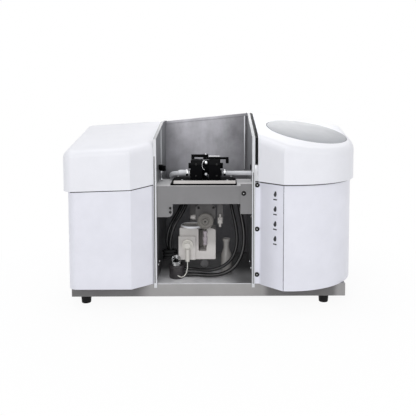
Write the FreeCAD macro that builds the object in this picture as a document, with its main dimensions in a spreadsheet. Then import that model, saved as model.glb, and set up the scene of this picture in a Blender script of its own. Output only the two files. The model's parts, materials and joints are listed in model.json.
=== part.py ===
import FreeCAD, Part
import math
import os
import Sketcher

# Atomic absorption spectrophotometer with an open atomiser chamber.
# X runs to the right, Y to the back, Z up; the origin is on the bench under the middle.
# All lengths are millimetres.

sizes = {
    # stance and base
    "foot_height": 23,
    "foot_top_radius": 15,
    "foot_base_radius": 12,
    "foot_left": 389,
    "foot_right": 330,
    "foot_front": 145,
    "foot_back": 185,
    "pan_height": 38,
    "pan_left": 428,
    "pan_right": 392,
    "pan_front": 165,
    "pan_back": 222,
    "sheet": 2,
    # atomiser chamber
    "chamber_left": 178,
    "chamber_right": 116,
    "chamber_back": 185,
    "plate_front_left_top": 494,
    "plate_front_right_top": 499,
    "plate_left_top": 537,
    "plate_right_top": 565,
    "left_slope_end": 65,
    "right_slope_end": 125,
    "left_tail_top": 506,
    "right_tail_top": 536,
    "flange_width": 9,
    "flange_drop": 11,
    "hem_height": 10,
    "door_rail": 4,
    "seal_width": 8,
    "seal_bottom": 422,
    # shelf that carries the furnace
    "shelf_depth": 150,
    "shelf_apron": 54,
    "shelf_ear_drop": 93,
    "shelf_ear_width": 51,
    "shelf_ear_radius": 14,
    "bracket_width": 36,
    "bracket_drop": 84,
    # covers
    "wall": 3,
    "left_end": 438,
    "left_front": 219,
    "left_facet": 242,
    "left_lip": 361,
    "left_roof": 488,
    "left_ridge": 100,
    "cover_step": 12,
    "right_end": 438,
    "right_bow": 220,
    "right_bow_x": 223,
    "right_bow_y": 26,
    "key_panel_right": 196,
    "right_lip": 371,
    "right_roof": 511,
    "right_ridge": 125,
    "roof_round": 24,
    "corner_round": 30,
    "cover_gap": 0.3,
    "rear_round": 8,
    "shell_toe": 7,
    "seam": 1.5,
    "roof_reach": 640,
    # lamp lid
    "lid_x": 292,
    "lid_y": 25,
    "lid_radius": 128,
    "lid_thick": 12,
    "lid_gap": 1.5,
    "lid_proud": 4,
    "lid_skirt": 8,
    "lid_bevel": 14,
    "lamp_mouth": 112,
    # beam and furnace
    "beam_height": 400,
    "beam_over_shelf": 44,
    "beam_depth": 60,
    "barrel_radius": 8.5,
    "barrel_wall": 2.5,
    "barrel_left_reach": 14,
    "barrel_right_reach": 3,
    "furnace_x": 29,
    "furnace_base_left": 133,
    "furnace_base_right": 66,
    "furnace_base_depth": 150,
    "furnace_base_thick": 5,
    "block_width": 36,
    "block_depth": 70,
    "block_over_beam": 24,
    "block_gap": 20,
    "strip_length": 185,
    "strip_height": 9,
    "strip_thick": 6,
    "tube_radius": 4,
    "tube_length": 28,
    # burner side of the bay
    "wheel_radius": 25,
    "wheel_thick": 14,
    "wheel_height": 243,
    "wheel_front": 118,
    "spray_left": 109,
    "spray_right": 2,
    "spray_low": 119,
    "spray_high": 217,
    "spray_front": 105,
    "spray_back": 40,
    "dish_radius": 32,
    "hose_radius": 5,
    "water_hose_radius": 7,
    "drain_hose_radius": 6,
    # monochromator bench and electronics
    "bench_left": 420,
    "bench_inner": 205,
    "bench_front": 170,
    "bench_back": 125,
    "bench_drop": 82,
    "bench_thick": 8,
    "bench_post": 9,
    "case_left": 345,
    "case_inner": 212,
    "case_front": 165,
    "case_back": 110,
    "case_height": 110,
    "case_wall": 5,
    "supply_left": 200,
    "supply_width": 165,
    "supply_front": 75,
    "supply_depth": 110,
    "supply_height": 100,
    "board_left": 400,
    "board_width": 180,
    "board_low": 230,
    "board_height": 100,
    "control_left": 190,
    "control_width": 140,
    "control_front": 110,
    "control_depth": 110,
    "control_height": 60,
    "valve_radius": 15,
    "valve_height": 35,
    # lamp turret
    "lamp_bench_left": 150,
    "lamp_bench_right": 380,
    "lamp_bench_front": 150,
    "lamp_bench_back": 60,
    "lamp_front_x": 165,
    "turret_pitch": 65,
    "lamp_radius": 19,
    "lamp_length": 120,
    "lamp_count": 8,
    # rear fittings
    "fan_x": 300,
    "fan_z": 300,
    "fan_radius": 56,
    "inlet_x": 370,
    "inlet_z": 110,
    "gas_inlet_height": 150,
    # keys
    "key_radius": 7,
    "key_top": 337,
    "key_pitch": 43.5,
    "key_clearance": 0.3,
}


class Size:
    """A length that knows both its number and its spreadsheet expression."""

    def __init__(self, value, text):
        self.value = float(value)
        self.text = text

    def __float__(self):
        return self.value

    def __neg__(self):
        return Size(-self.value, "(0 - %s)" % self.text)

    def __add__(self, other):
        other = as_size(other)
        return Size(self.value + other.value, "(%s + %s)" % (self.text, other.text))

    def __sub__(self, other):
        other = as_size(other)
        return Size(self.value - other.value, "(%s - %s)" % (self.text, other.text))

    def __mul__(self, other):
        other = as_size(other)
        return Size(self.value * other.value, "(%s * %s)" % (self.text, other.text))

    def __truediv__(self, other):
        other = as_size(other)
        return Size(self.value / other.value, "(%s / %s)" % (self.text, other.text))

    def __radd__(self, other):
        return as_size(other) + self

    def __rsub__(self, other):
        return as_size(other) - self

    def __rmul__(self, other):
        return as_size(other) * self


def as_size(number):
    if isinstance(number, Size):
        return number
    return Size(number, "(%.6f)" % number)


def root(size):
    """Square root of a size, as a number and as an expression."""
    size = as_size(size)
    return Size(math.sqrt(size.value), "sqrt(%s)" % size.text)


document = FreeCAD.newDocument("atomic_absorption_spectrophotometer")
sheet = document.addObject("Spreadsheet::Sheet", "Sizes")
for row, (alias, number) in enumerate(sizes.items(), start=1):
    sheet.set("A%d" % row, alias)
    sheet.set("B%d" % row, str(number))
    sheet.setAlias("B%d" % row, alias)
document.recompute()


class Cells:
    """Every driving size by its alias, as a Size."""


for alias, number in sizes.items():
    setattr(Cells, alias, Size(number, "Sizes." + alias))
s = Cells

parts = []


def keep(item, label):
    """Register a finished sub-part under its label."""
    item.Label = label
    parts.append(item)
    return item


def bind(item, name, size):
    """Set a property and tie it to the spreadsheet."""
    size = as_size(size)
    item.setExpression(name, size.text)
    return item


def place(item, x=0, y=0, z=0, axis="Z", angle=0):
    """Put an object at x, y, z with its own Z axis turned to the named axis."""
    turns = {
        "Z": FreeCAD.Rotation(vector(0, 0, 1), angle),
        "-Z": FreeCAD.Rotation(vector(1, 0, 0), 180),
        "X": FreeCAD.Rotation(vector(0, 1, 0), 90),
        "-X": FreeCAD.Rotation(vector(0, 1, 0), -90),
        "Y": FreeCAD.Rotation(vector(1, 0, 0), -90),
        "-Y": FreeCAD.Rotation(vector(1, 0, 0), 90),
    }
    spot = vector(float(x), float(y), float(z))
    item.Placement = FreeCAD.Placement(spot, turns[axis])
    for name, size in (("x", x), ("y", y), ("z", z)):
        if isinstance(size, Size):
            bind(item, "Placement.Base." + name, size)
    return item


vector = FreeCAD.Vector
planes = {"XY": "XY_Plane", "XZ": "XZ_Plane", "YZ": "YZ_Plane"}


def new_body(name):
    body = document.addObject("PartDesign::Body", name)
    body.AllowCompound = True
    return body


def arc_centre(start, end, radius):
    """Centre of the short arc from start to end; a positive radius turns left."""
    chord = end - start
    middle = (start + end) * 0.5
    left = vector(-chord.y, chord.x, 0).normalize()
    height = math.sqrt(max(radius * radius - chord.Length ** 2 / 4, 0))
    return middle + left * height * (1 if radius > 0 else -1)


def draw_loop(sketch, loop):
    """Draw one closed outline of points (a, b) or (a, b, arc radius to the next point)."""
    first = sketch.GeometryCount
    count = len(loop)
    ends = []
    for number, point in enumerate(loop):
        following = loop[(number + 1) % count]
        start = vector(float(point[0]), float(point[1]), 0)
        end = vector(float(following[0]), float(following[1]), 0)
        if len(point) == 2:
            sketch.addGeometry(Part.LineSegment(start, end), False)
            ends.append((1, 2))
            continue
        radius = float(point[2])
        centre = arc_centre(start, end, radius)
        low, high = (start, end) if radius > 0 else (end, start)
        low_angle = math.atan2(low.y - centre.y, low.x - centre.x)
        high_angle = math.atan2(high.y - centre.y, high.x - centre.x)
        circle = Part.Circle(centre, vector(0, 0, 1), abs(radius))
        sketch.addGeometry(Part.ArcOfCircle(circle, low_angle, high_angle), False)
        ends.append((1, 2) if radius > 0 else (2, 1))
    for number, point in enumerate(loop):
        here = first + number
        after = first + (number + 1) % count
        link = Sketcher.Constraint(
            "Coincident", here, ends[number][1], after, ends[(number + 1) % count][0])
        sketch.addConstraint(link)
        for kind, size in (("DistanceX", point[0]), ("DistanceY", point[1])):
            tie = sketch.addConstraint(
                Sketcher.Constraint(kind, -1, 1, here, ends[number][0], float(size)))
            if isinstance(size, Size):
                sketch.setExpression("Constraints[%d]" % tie, size.text)
        if len(point) == 3:
            size = as_size(point[2])
            tie = sketch.addConstraint(Sketcher.Constraint("Radius", here, abs(size.value)))
            text = size.text if size.value > 0 else (-size).text
            sketch.setExpression("Constraints[%d]" % tie, text)


def draw_circle(sketch, x, y, radius):
    centre = vector(float(x), float(y), 0)
    here = sketch.addGeometry(Part.Circle(centre, vector(0, 0, 1), float(radius)), False)
    for kind, size in (("DistanceX", x), ("DistanceY", y)):
        tie = sketch.addConstraint(Sketcher.Constraint(kind, -1, 1, here, 3, float(size)))
        sketch.setExpression("Constraints[%d]" % tie, as_size(size).text)
    tie = sketch.addConstraint(Sketcher.Constraint("Radius", here, float(radius)))
    sketch.setExpression("Constraints[%d]" % tie, as_size(radius).text)


def draw(body, plane, at, loops):
    """Sketch loops on one of the body's own planes, at a coordinate along the plane's axis."""
    sketch = body.newObject("Sketcher::SketchObject", body.Name + "_sketch")
    for feature in body.Origin.OriginFeatures:
        if feature.Role == planes[plane]:
            sketch.AttachmentSupport = [(feature, "")]
    sketch.MapMode = "FlatFace"
    offset = -as_size(at) if plane == "XZ" else as_size(at)
    sketch.setExpression("AttachmentOffset.Base.z", offset.text)
    for loop in loops:
        if loop[0] == "circle":
            draw_circle(sketch, *loop[1:])
        else:
            draw_loop(sketch, loop)
    document.recompute()
    return sketch


def pad(body, plane, low, high, *loops, along=None):
    """Pad outlines from low to high along the plane's axis, or along a slanted direction."""
    feature = body.newObject("PartDesign::Pad", body.Name + "_pad")
    feature.Profile = draw(body, plane, low, loops)
    bind(feature, "Length", as_size(high) - low)
    feature.Reversed = plane == "XZ"
    if along:
        feature.UseCustomVector = True
        feature.Direction = vector(*along)
        feature.Reversed = False
    document.recompute()
    return feature


def pocket(body, plane, low, high, *loops, along=None):
    """Cut outlines from low to high along the plane's axis and check that they cut."""
    before = body.Shape.Volume
    feature = body.newObject("PartDesign::Pocket", body.Name + "_pocket")
    feature.Profile = draw(body, plane, low, loops)
    bind(feature, "Length", as_size(high) - low)
    feature.Reversed = plane != "XZ"
    if along:
        feature.UseCustomVector = True
        feature.Direction = vector(*along)
        feature.Reversed = False
    document.recompute()
    if body.Shape.Volume > before - 0.01:
        raise ValueError("a pocket in %s cuts nothing" % body.Label)
    return feature


def edge_names(shape, test):
    return ["Edge%d" % number for number, edge in enumerate(shape.Edges, start=1) if test(edge)]


def dress(body, kind, size, test):
    """Fillet or chamfer the edges of the body's tip that pass the test."""
    tip = body.Tip
    names = edge_names(tip.Shape, test)
    if not names:
        raise ValueError("no edge to dress in %s" % body.Label)
    feature = body.newObject("PartDesign::" + kind, body.Name + "_" + kind.lower())
    feature.Base = (tip, names)
    bind(feature, "Radius" if kind == "Fillet" else "Size", size)
    document.recompute()
    return feature


def drilled(body, plane, low, high, x, y, radius):
    """A round hole through the body."""
    return pocket(body, plane, low, high, ("circle", x, y, radius))


def upright(edge):
    """True for a straight vertical edge."""
    box = edge.BoundBox
    return box.ZLength > 5 and box.XLength < 0.01 and box.YLength < 0.01


def turned(name, profile, x=0, y=0, z=0, axis="Z"):
    """A revolved body; the profile holds (radius, height) points about its own Z axis."""
    body = new_body(name)
    feature = body.newObject("PartDesign::Revolution", name + "_turn")
    sketch = draw(body, "XZ", 0, [profile])
    feature.Profile = sketch
    feature.ReferenceAxis = (sketch, ["V_Axis"])
    feature.Angle = 360
    document.recompute()
    return place(body, x, y, z, axis)


def rod(radius, length):
    """Profile of a plain cylinder that stands on its own origin."""
    return [(0, 0), (radius, 0), (radius, length), (0, length)]


def ring(inner, outer, length):
    return [(inner, 0), (outer, 0), (outer, length), (inner, length)]


def box(name, x, y, z):
    """A Part::Box from three (low, high) pairs."""
    item = document.addObject("Part::Box", name)
    for property_name, pair in (("Length", x), ("Width", y), ("Height", z)):
        bind(item, property_name, as_size(pair[1]) - pair[0])
    return place(item, as_size(x[0]), as_size(y[0]), as_size(z[0]))


def group(name, items):
    item = document.addObject("Part::Compound", name)
    item.Links = items
    return item


def fused(name, items):
    item = document.addObject("Part::MultiFuse", name)
    item.Shapes = items
    item.Refine = True
    return item


def cut(name, base, tool):
    item = document.addObject("Part::Cut", name)
    item.Base = base
    item.Tool = tool
    item.Refine = True
    return item


def route_wire(points):
    """Straight runs joined by tangent arcs as large as the runs allow."""
    edges = []
    radii = []
    last = points[0]
    for before, here, after in zip(points, points[1:], points[2:]):
        back = (before - here)
        ahead = (after - here)
        shorter = min(back.Length, ahead.Length)
        half_turn = (math.pi - back.getAngle(ahead)) / 2
        reach = 0.45 * shorter
        radii.append(reach / math.tan(half_turn))
        start = here + back.normalize() * reach
        end = here + ahead.normalize() * reach
        bisector = (back + ahead).normalize()
        distance = math.hypot(radii[-1], reach)
        middle = here + bisector * (distance - radii[-1])
        edges.append(Part.LineSegment(last, start).toShape())
        edges.append(Part.Arc(start, middle, end).toShape())
        last = end
    edges.append(Part.LineSegment(last, points[-1]).toShape())
    return Part.Wire(edges), radii


def hose(name, radius, points):
    """A hose along a chosen route, as one closed tube."""
    points = [vector(*(float(value) for value in point)) for point in points]
    wire, radii = route_wire(points)
    start = (points[1] - points[0]).normalize()
    circle = Part.Wire(Part.Circle(points[0], start, float(radius)).toShape())
    solid = wire.makePipeShell([circle], True, False)
    item = document.addObject("Part::Feature", name)
    item.Shape = solid
    expected = math.pi * float(radius) ** 2 * wire.Length
    ratio = solid.Volume / expected
    print("%s radii %s, volume ratio %.4f" % (
        name, " ".join("%.0f" % value for value in radii), ratio))
    return item


def screw(name, x, y, z, axis, head, height, shank, length):
    """A domed round-head screw whose head stands on x, y, z and whose shank goes the other way."""
    profile = [
        (0, -length), (shank, -length), (shank, 0), (head, 0), (head, height * 0.45),
        (head * 0.5, height), (0, height),
    ]
    return turned(name, profile, x, y, z, axis)


base_bottom = s.foot_height
base_top = s.foot_height + s.pan_height


def make_base():
    """Welded sheet-steel base box and four rubber feet."""
    outside = box("pan_outside", (-s.pan_left, s.pan_right), (-s.pan_front, s.pan_back),
                  (base_bottom, base_top))
    inside = box("pan_room", (s.sheet - s.pan_left, s.pan_right - s.sheet),
                 (s.sheet - s.pan_front, s.pan_back - s.sheet), (base_bottom + s.sheet, base_top - s.sheet))
    keep(cut("pan", outside, inside), "base_pan")
    feet = []
    edge = s.foot_height * 0.12
    profile = [
        (0, 0), (s.foot_base_radius - edge, 0), (s.foot_base_radius, edge),
        (s.foot_top_radius, s.foot_height), (0, s.foot_height),
    ]
    for foot_x in (-s.foot_left, s.foot_right):
        for foot_y in (-s.foot_front, s.foot_back):
            feet.append(turned("foot", profile, foot_x, foot_y, 0))
    keep(group("feet", feet), "rubber_feet")


def make_side_plate(name, outside, inside, front_top, back_top, slope_end, tail_top, bevel, seat):
    """Chamber side wall: a flat sheet, flanged down the front and along the top, and a lower
    tail that closes the side behind the chamber and folds out to the cover's seat."""
    body = new_body(name)
    low, high = sorted((outside, inside), key=float)
    front = -s.pan_front
    outline = [
        (front, base_top), (s.chamber_back, base_top), (s.chamber_back, back_top),
        (slope_end, back_top), (front, front_top),
    ]
    pad(body, "YZ", low, high, outline)
    end = rear_inside - s.cover_gap
    drop = (end - s.chamber_back) * bevel
    pad(body, "YZ", low, high, [
        (s.chamber_back, base_top + s.sheet), (end, base_top + s.sheet), (end, tail_top - drop),
        (s.chamber_back, tail_top)])
    fold_low, fold_high = sorted((outside, seat), key=float)
    pad(body, "XZ", end - s.sheet, end, [
        (fold_low, base_top + s.sheet), (fold_high, base_top + s.sheet),
        (fold_high, tail_top - drop - 4), (fold_low, tail_top - drop - 4)])
    drilled(body, "YZ", low - 1, high + 1, -s.beam_depth, s.beam_height, s.barrel_radius + 0.2)
    flange = [
        (front - s.sheet, base_top - s.flange_drop), (front, base_top - s.flange_drop),
        (front, front_top), (slope_end, back_top), (s.chamber_back, back_top),
        (s.chamber_back, back_top + s.sheet), (slope_end, back_top + s.sheet),
        (front - s.sheet, front_top + s.sheet),
    ]
    if float(inside) < 0:
        pad(body, "YZ", inside, inside + s.door_rail, [
            (0, s.beam_height), (s.door_rail * 1.5, s.beam_height),
            (s.door_rail * 1.5, front_top + 24), (0, front_top + 24)])
    middle = (outside + inside) * 0.5
    pad(body, "YZ", middle - s.flange_width * 0.5, middle + s.flange_width * 0.5, flange)
    return keep(body, name)


shelf_top = s.beam_height - s.beam_over_shelf
left_inside = s.sheet - s.chamber_left
right_inside = s.chamber_right - s.sheet
flange_left = s.sheet * 0.5 - s.chamber_left - s.flange_width * 0.5
flange_right = s.chamber_right - s.sheet * 0.5 + s.flange_width * 0.5
left_seat = flange_left - s.cover_gap
right_seat = flange_right + s.cover_gap * 2 + s.seal_width
rear_y = s.pan_back - s.wall
rear_inside = rear_y - s.sheet

# slopes of the roofs and lips, as rise over run
left_slope_x = 0.061
left_slope_y = 0.19
left_bevel = 0.35
lip_slope_x = 0.03
lip_slope_y = 0.115
right_slope_x = 0.15
right_slope_y = 0.20
right_bevel = 0.45
cover_lap = 8
front_step = 5


def make_chamber():
    make_side_plate("left_side_plate", -s.chamber_left, left_inside,
                    s.plate_front_left_top, s.plate_left_top, s.left_slope_end,
                    s.left_tail_top, left_bevel, flange_left)
    make_side_plate("right_side_plate", s.chamber_right, right_inside,
                    s.plate_front_right_top, s.plate_right_top, s.right_slope_end,
                    s.right_tail_top, right_bevel, right_seat - s.cover_gap)
    wall = new_body("chamber_back_wall")
    outline = [
        (left_inside, base_top), (right_inside, base_top),
        (right_inside, s.plate_right_top), (left_inside, s.plate_left_top - 1),
    ]
    hem = [
        (left_inside, s.plate_left_top - s.hem_height),
        (right_inside, s.plate_right_top - s.hem_height),
        (right_inside, s.plate_right_top), (left_inside, s.plate_left_top - 1),
    ]
    pad(wall, "XZ", s.chamber_back - s.sheet, s.chamber_back, outline)
    pad(wall, "XZ", s.chamber_back - s.sheet * 3, s.chamber_back - s.sheet, hem)
    rail_right = right_inside - s.door_rail * 2.5
    pad(wall, "XZ", s.chamber_back - s.sheet - s.door_rail, s.chamber_back - s.sheet, [
        (rail_right - s.door_rail, shelf_top), (rail_right, shelf_top),
        (rail_right, s.plate_right_top - s.hem_height * 3),
        (rail_right - s.door_rail, s.plate_right_top - s.hem_height * 3)])
    keep(wall, "chamber_back_wall")
    seal = new_body("door_seal")
    front = -s.pan_front
    depth = s.sheet * 3
    rise = s.plate_right_top - s.plate_front_right_top
    strip = [
        (front, s.seal_bottom), (front + depth, s.seal_bottom),
        (front + depth, s.plate_front_right_top - depth), (s.right_slope_end, s.plate_right_top - depth),
        (s.chamber_back, s.plate_right_top - depth), (s.chamber_back, s.plate_right_top),
        (s.right_slope_end, s.plate_right_top), (front, s.plate_front_right_top),
    ]
    pad(seal, "YZ", flange_right + s.cover_gap, flange_right + s.cover_gap + s.seal_width, strip)
    keep(seal, "door_seal")


def make_shelf():
    """Folded shelf under the furnace, its end bracket and the socket screw."""
    front = -s.pan_front + s.sheet * 1.5
    back = front + s.shelf_depth
    low = shelf_top - s.shelf_apron
    ear = shelf_top - s.shelf_ear_drop
    ear_right = left_inside + s.shelf_ear_width
    bend = s.shelf_ear_radius
    shelf = new_body("atomiser_shelf")
    profile = [
        (front, low), (front + s.sheet, low), (front + s.sheet, shelf_top - s.sheet),
        (back, shelf_top - s.sheet), (back, shelf_top), (front, shelf_top),
    ]
    pad(shelf, "YZ", left_inside, right_inside, profile)
    ear_outline = [
        (left_inside, ear), (ear_right - bend, ear, bend), (ear_right, ear + bend),
        (ear_right, low), (left_inside, low),
    ]
    pad(shelf, "XZ", front, front + s.sheet, ear_outline)
    hole_x = ear_right - 7
    pocket(shelf, "XZ", front - 1, front + s.sheet + 1,
           ("circle", hole_x, ear + 12, 2.5), ("circle", hole_x, ear + 24, 2.5))
    end_flange = [
        (front + s.sheet, ear), (front + s.sheet * 12, ear), (back, shelf_top - s.sheet * 6),
        (back, shelf_top - s.sheet), (front + s.sheet, shelf_top - s.sheet),
    ]
    pad(shelf, "YZ", left_inside, left_inside + s.sheet, end_flange)
    keep(shelf, "atomiser_shelf")
    bracket = new_body("shelf_end_bracket")
    bracket_left = right_inside - s.bracket_width - s.sheet
    bracket_top = shelf_top + 6
    bracket_low = bracket_top - s.bracket_drop - 6
    face = [
        (bracket_left, bracket_low), (right_inside, bracket_low),
        (right_inside, bracket_top), (bracket_left, bracket_top),
    ]
    pad(bracket, "XZ", front - s.sheet, front, face)
    side = [
        (front - 1, bracket_low), (front + 40, bracket_low + 20), (front + 40, low - 1), (front - 1, low - 1),
    ]
    pad(bracket, "YZ", right_inside - s.sheet, right_inside, side)
    keep(bracket, "shelf_end_bracket")
    drilled(bracket, "XZ", front - 5, front + 5, bracket_left + 10, shelf_top - 22, 2.6)
    drilled(shelf, "XZ", front - 5, front + 5, bracket_left + 10, shelf_top - 22, 2.6)


def slanted(body, x_low, x_high, slope, profile, above):
    """Cut away what lies above, or below, a tilted profile of (y, z) points."""
    level = s.roof_reach * (1.5 if above else -0.5)
    far = [(profile[-1][0], level), (profile[0][0], level)]
    outline = list(profile) + far
    return pocket(body, "YZ", x_low, x_high, outline, along=(1, 0, slope))


def left_level(height, slope_x, slope_y, x, y):
    """Height at x, y of a plane that has the given height beside the chamber's front."""
    return height + (x - flange_left) * slope_x + (y + s.pan_front) * slope_y


def left_form(name, inset, bottom):
    """Outer or inner form of the left top shell: tilted roof, faceted front, soft edges."""
    body = new_body(name)
    left = s.left_end - inset
    front = s.left_front - inset
    side = left_seat + inset * 2
    toe = -s.pan_front - 1 + inset * 3.1
    plan = [
        (-left, -front), (-s.left_facet - inset * 0.4, -front), (side, toe),
        (side, s.pan_back - inset), (-left, s.pan_back - inset),
    ]
    pad(body, "XY", bottom, s.roof_reach - 10, plan)
    x_low = -s.left_end - 10
    roof = [
        (y, left_level(s.left_roof - inset, left_slope_x, left_slope_y, x_low, y))
        for y in (-s.left_front - 20, s.left_ridge)
    ]
    tail = s.pan_back + 20
    roof.append((tail, roof[1][1] - (tail - s.left_ridge) * left_bevel))
    slanted(body, x_low, flange_left + 10, left_slope_x, roof, True)
    dress(body, "Fillet", s.corner_round - inset,
          lambda edge: upright(edge) and edge.BoundBox.XMax < 1 - left.value and edge.BoundBox.YMax < 0)
    dress(body, "Fillet", s.roof_round - inset,
          lambda edge: edge.BoundBox.ZMin > 430 and edge.BoundBox.YMax < -100 and edge.BoundBox.ZLength < 60)
    return body


def make_left_covers():
    x_low = -s.left_end - 10
    front = -s.left_front - 20
    back = s.pan_back + 20

    def lip(y, rise=0):
        return left_level(s.left_lip + rise, lip_slope_x, lip_slope_y, x_low, y)

    outer = left_form("left_shell_outside", 0, s.left_lip - 40)
    slanted(outer, x_low, flange_left + 10, lip_slope_x, [(front, lip(front)), (back, lip(back))], False)
    inner = left_form("left_shell_inside", s.wall, s.left_lip - 60)
    keep(cut("left_shell", outer, inner), "left_top_shell")

    cover = new_body("left_lower_cover")
    left = s.left_end - s.cover_step
    ahead = s.left_front - front_step
    plan = [
        (-left, -ahead), (-s.left_facet, -ahead), (left_seat, -s.pan_front + 3.5),
        (left_seat, rear_y), (-left, rear_y),
    ]
    pad(cover, "XY", base_top, s.left_lip + 60, plan)
    dress(cover, "Fillet", s.corner_round - s.wall,
          lambda edge: upright(edge) and edge.BoundBox.XMax < 1 - left.value and edge.BoundBox.YMax < 0)
    slanted(cover, x_low, flange_left + 10, lip_slope_x,
            [(front, lip(front, cover_lap)), (back, lip(back, cover_lap))], True)
    bend = s.corner_round - s.wall * 2
    room = [
        (s.wall - left, s.wall - ahead + bend, bend), (s.wall - left + bend, s.wall - ahead),
        (-s.left_facet - 1, s.wall - ahead),
        (left_seat + 5, s.wall - s.pan_front + 8), (left_seat + 5, s.pan_back + 5),
        (s.wall - left, s.pan_back + 5),
    ]
    pocket(cover, "XY", base_top + s.sheet, s.left_lip + 61, room)
    keep(cover, "left_lower_cover")


def right_level(height, x, y):
    """Height of the right roof's plane at x, y; height is that at the lamp lid's centre."""
    return height + (s.lid_x - x) * right_slope_x + (y + s.lid_y) * right_slope_y


def bow_front(radius, x):
    """Y of the bowed front at x, for a bow of the given radius."""
    across = as_size(x) - s.right_bow_x
    return -s.right_bow_y - root(radius * radius - across * across)


lid_normal = FreeCAD.Vector(right_slope_x, -right_slope_y, 1).normalize()
lid_turn = FreeCAD.Rotation(vector(0, 0, 1), lid_normal)


def right_form(name, inset, bottom):
    """Outer or inner form of the right top shell: bowed front, tilted roof, soft edges."""
    body = new_body(name)
    radius = s.right_bow - inset
    corner = s.key_panel_right + inset * 0.5
    side = right_seat - inset * 2
    toe = -s.pan_front - s.shell_toe + inset * 3.6
    plan = [
        (side, toe), (corner, bow_front(radius, corner), radius),
        (s.right_end - inset, -s.right_bow_y), (s.right_end - inset, s.pan_back - inset),
        (side, s.pan_back - inset),
    ]
    pad(body, "XY", bottom, s.roof_reach - 10, plan)
    x_low = right_seat - 10
    roof = [
        (y, right_level(s.right_roof - inset, x_low, y))
        for y in (-s.right_bow_y - s.right_bow - 20, s.right_ridge)
    ]
    tail = s.pan_back + 20
    roof.append((tail, roof[1][1] - (tail - s.right_ridge) * right_bevel))
    slanted(body, x_low, s.right_end + 10, -right_slope_x, roof, True)
    dress(body, "Fillet", s.rear_round - inset,
          lambda edge: upright(edge) and edge.BoundBox.XMin > 400 and edge.BoundBox.YMin > 0)
    dress(body, "Fillet", s.roof_round - inset,
          lambda edge: edge.BoundBox.ZMin > 430 and edge.BoundBox.YMax < 140
          and edge.BoundBox.XMax > right_seat.value + 10 and edge.BoundBox.YLength > 1)
    return body


def lid_place(item, x=0, y=0, z=0):
    """Put an item at x, y, z of the lamp lid's own tilted frame, which lies on the roof."""
    offset = lid_turn.multVec(vector(float(x), float(y), float(z)))
    spot = [s.lid_x + offset.x, -s.lid_y + offset.y, s.right_roof + offset.z]
    item.Placement = FreeCAD.Placement(vector(*(float(value) for value in spot)), lid_turn)
    for name, size in zip("xyz", spot):
        bind(item, "Placement.Base." + name, size)
    return item


def make_right_covers():
    outer = right_form("right_shell_outside", 0, s.right_lip)
    inner = right_form("right_shell_inside", s.wall, s.right_lip - 20)
    seat_depth = s.lid_thick - s.lid_proud
    seat = lid_place(turned("lid_seat", rod(s.lid_radius + s.lid_gap * 2 + s.wall, s.wall + seat_depth + 4)),
                     0, 0, -(s.wall + seat_depth))
    trimmed = document.addObject("Part::Common", "lid_seat_trimmed")
    trimmed.Base = seat
    trimmed.Tool = outer
    outer_copy = cut("right_shell_walls", outer, inner)
    walls = fused("right_shell_seated", [outer_copy, trimmed])
    bowl = turned("lid_recess", [
        (0, 0), (s.lamp_mouth, 0), (s.lamp_mouth, 20), (s.lid_radius + s.lid_gap, 20),
        (s.lid_radius + s.lid_gap, 60), (0, 60)])
    lid_place(bowl, 0, 0, -(seat_depth + 20))
    keep(cut("right_shell", walls, bowl), "right_top_shell")

    low_radius = s.right_bow - 10
    seam_x = s.key_panel_right + s.seam
    far = s.right_end - 10
    panel = new_body("right_curved_panel")
    arc = [
        (seam_x, bow_front(low_radius, seam_x), low_radius), (far, -s.right_bow_y), (far, rear_y),
        (far - s.wall, rear_y), (far - s.wall, -s.right_bow_y, s.wall - low_radius),
        (seam_x, bow_front(low_radius - s.wall, seam_x)),
    ]
    top = s.right_lip + cover_lap
    pad(panel, "XY", base_top, top, arc)
    floor = [
        (seam_x, bow_front(low_radius - 1, seam_x), low_radius - 1), (far - 1, -s.right_bow_y),
        (far - 1, rear_y), (s.pan_right - 20, rear_y), (s.pan_right - 20, -s.pan_front + 15),
        (seam_x, -s.pan_front + 15),
    ]
    pad(panel, "XY", base_top, base_top + s.sheet, floor)
    keep(panel, "right_curved_panel")

    key_panel = new_body("key_panel_sheet")
    fold_x = flange_right + 13.5
    outside = [
        (flange_right + s.cover_gap, -s.pan_front), (fold_x, -s.pan_front - 0.4),
        (key_fold_x, key_fold_y), (s.key_panel_right, key_corner_y),
    ]
    inside = [(x, y + s.wall * 1.4) for x, y in outside]
    inside[0] = (inside[0][0], outside[0][1] + s.wall)
    pad(key_panel, "XY", base_top, top, outside + inside[::-1])
    bottom = [outside[0], outside[1], outside[2], outside[3],
              (s.key_panel_right, -s.pan_front + 15), (outside[0][0], -s.pan_front + 15)]
    pad(key_panel, "XY", base_top, base_top + s.sheet, bottom)
    for screw_z in panel_screw_heights:
        drilled(key_panel, "XZ", -s.pan_front - 5, -s.pan_front + 10,
                flange_right + 6.3, screw_z, 2.6)
    holes = [key_shape("key_hole", number, s.key_clearance, 12) for number in range(4)]
    keep(cut("right_key_panel_cut", key_panel, group("key_holes", holes)), "right_key_panel")
    for number in range(4):
        keep(key_shape("key", number, 0, 8), "key_%d" % (number + 1))
    screws = [
        screw("panel_screw", flange_right + 6.3, -s.pan_front - 0.5, height, "-Y", 6, 4, 2.5, 9)
        for height in panel_screw_heights
    ]
    screws.append(screw("shelf_screw", right_inside - s.bracket_width - s.sheet + 10,
                        -s.pan_front + s.sheet * 0.5, shelf_top - 22, "-Y", 6, 4, 2.5, 9))
    keep(group("panel_screw_set", screws), "panel_screws")


panel_screw_heights = [369 - 10, 227, 89]
key_corner_y = bow_front(s.right_bow - 10, s.key_panel_right)
key_fold_x = flange_right + 20
key_fold_y = -s.pan_front - 12
key_angle = math.degrees(math.atan2(float(key_corner_y) - float(key_fold_y),
                                    float(s.key_panel_right) - float(key_fold_x)))


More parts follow.
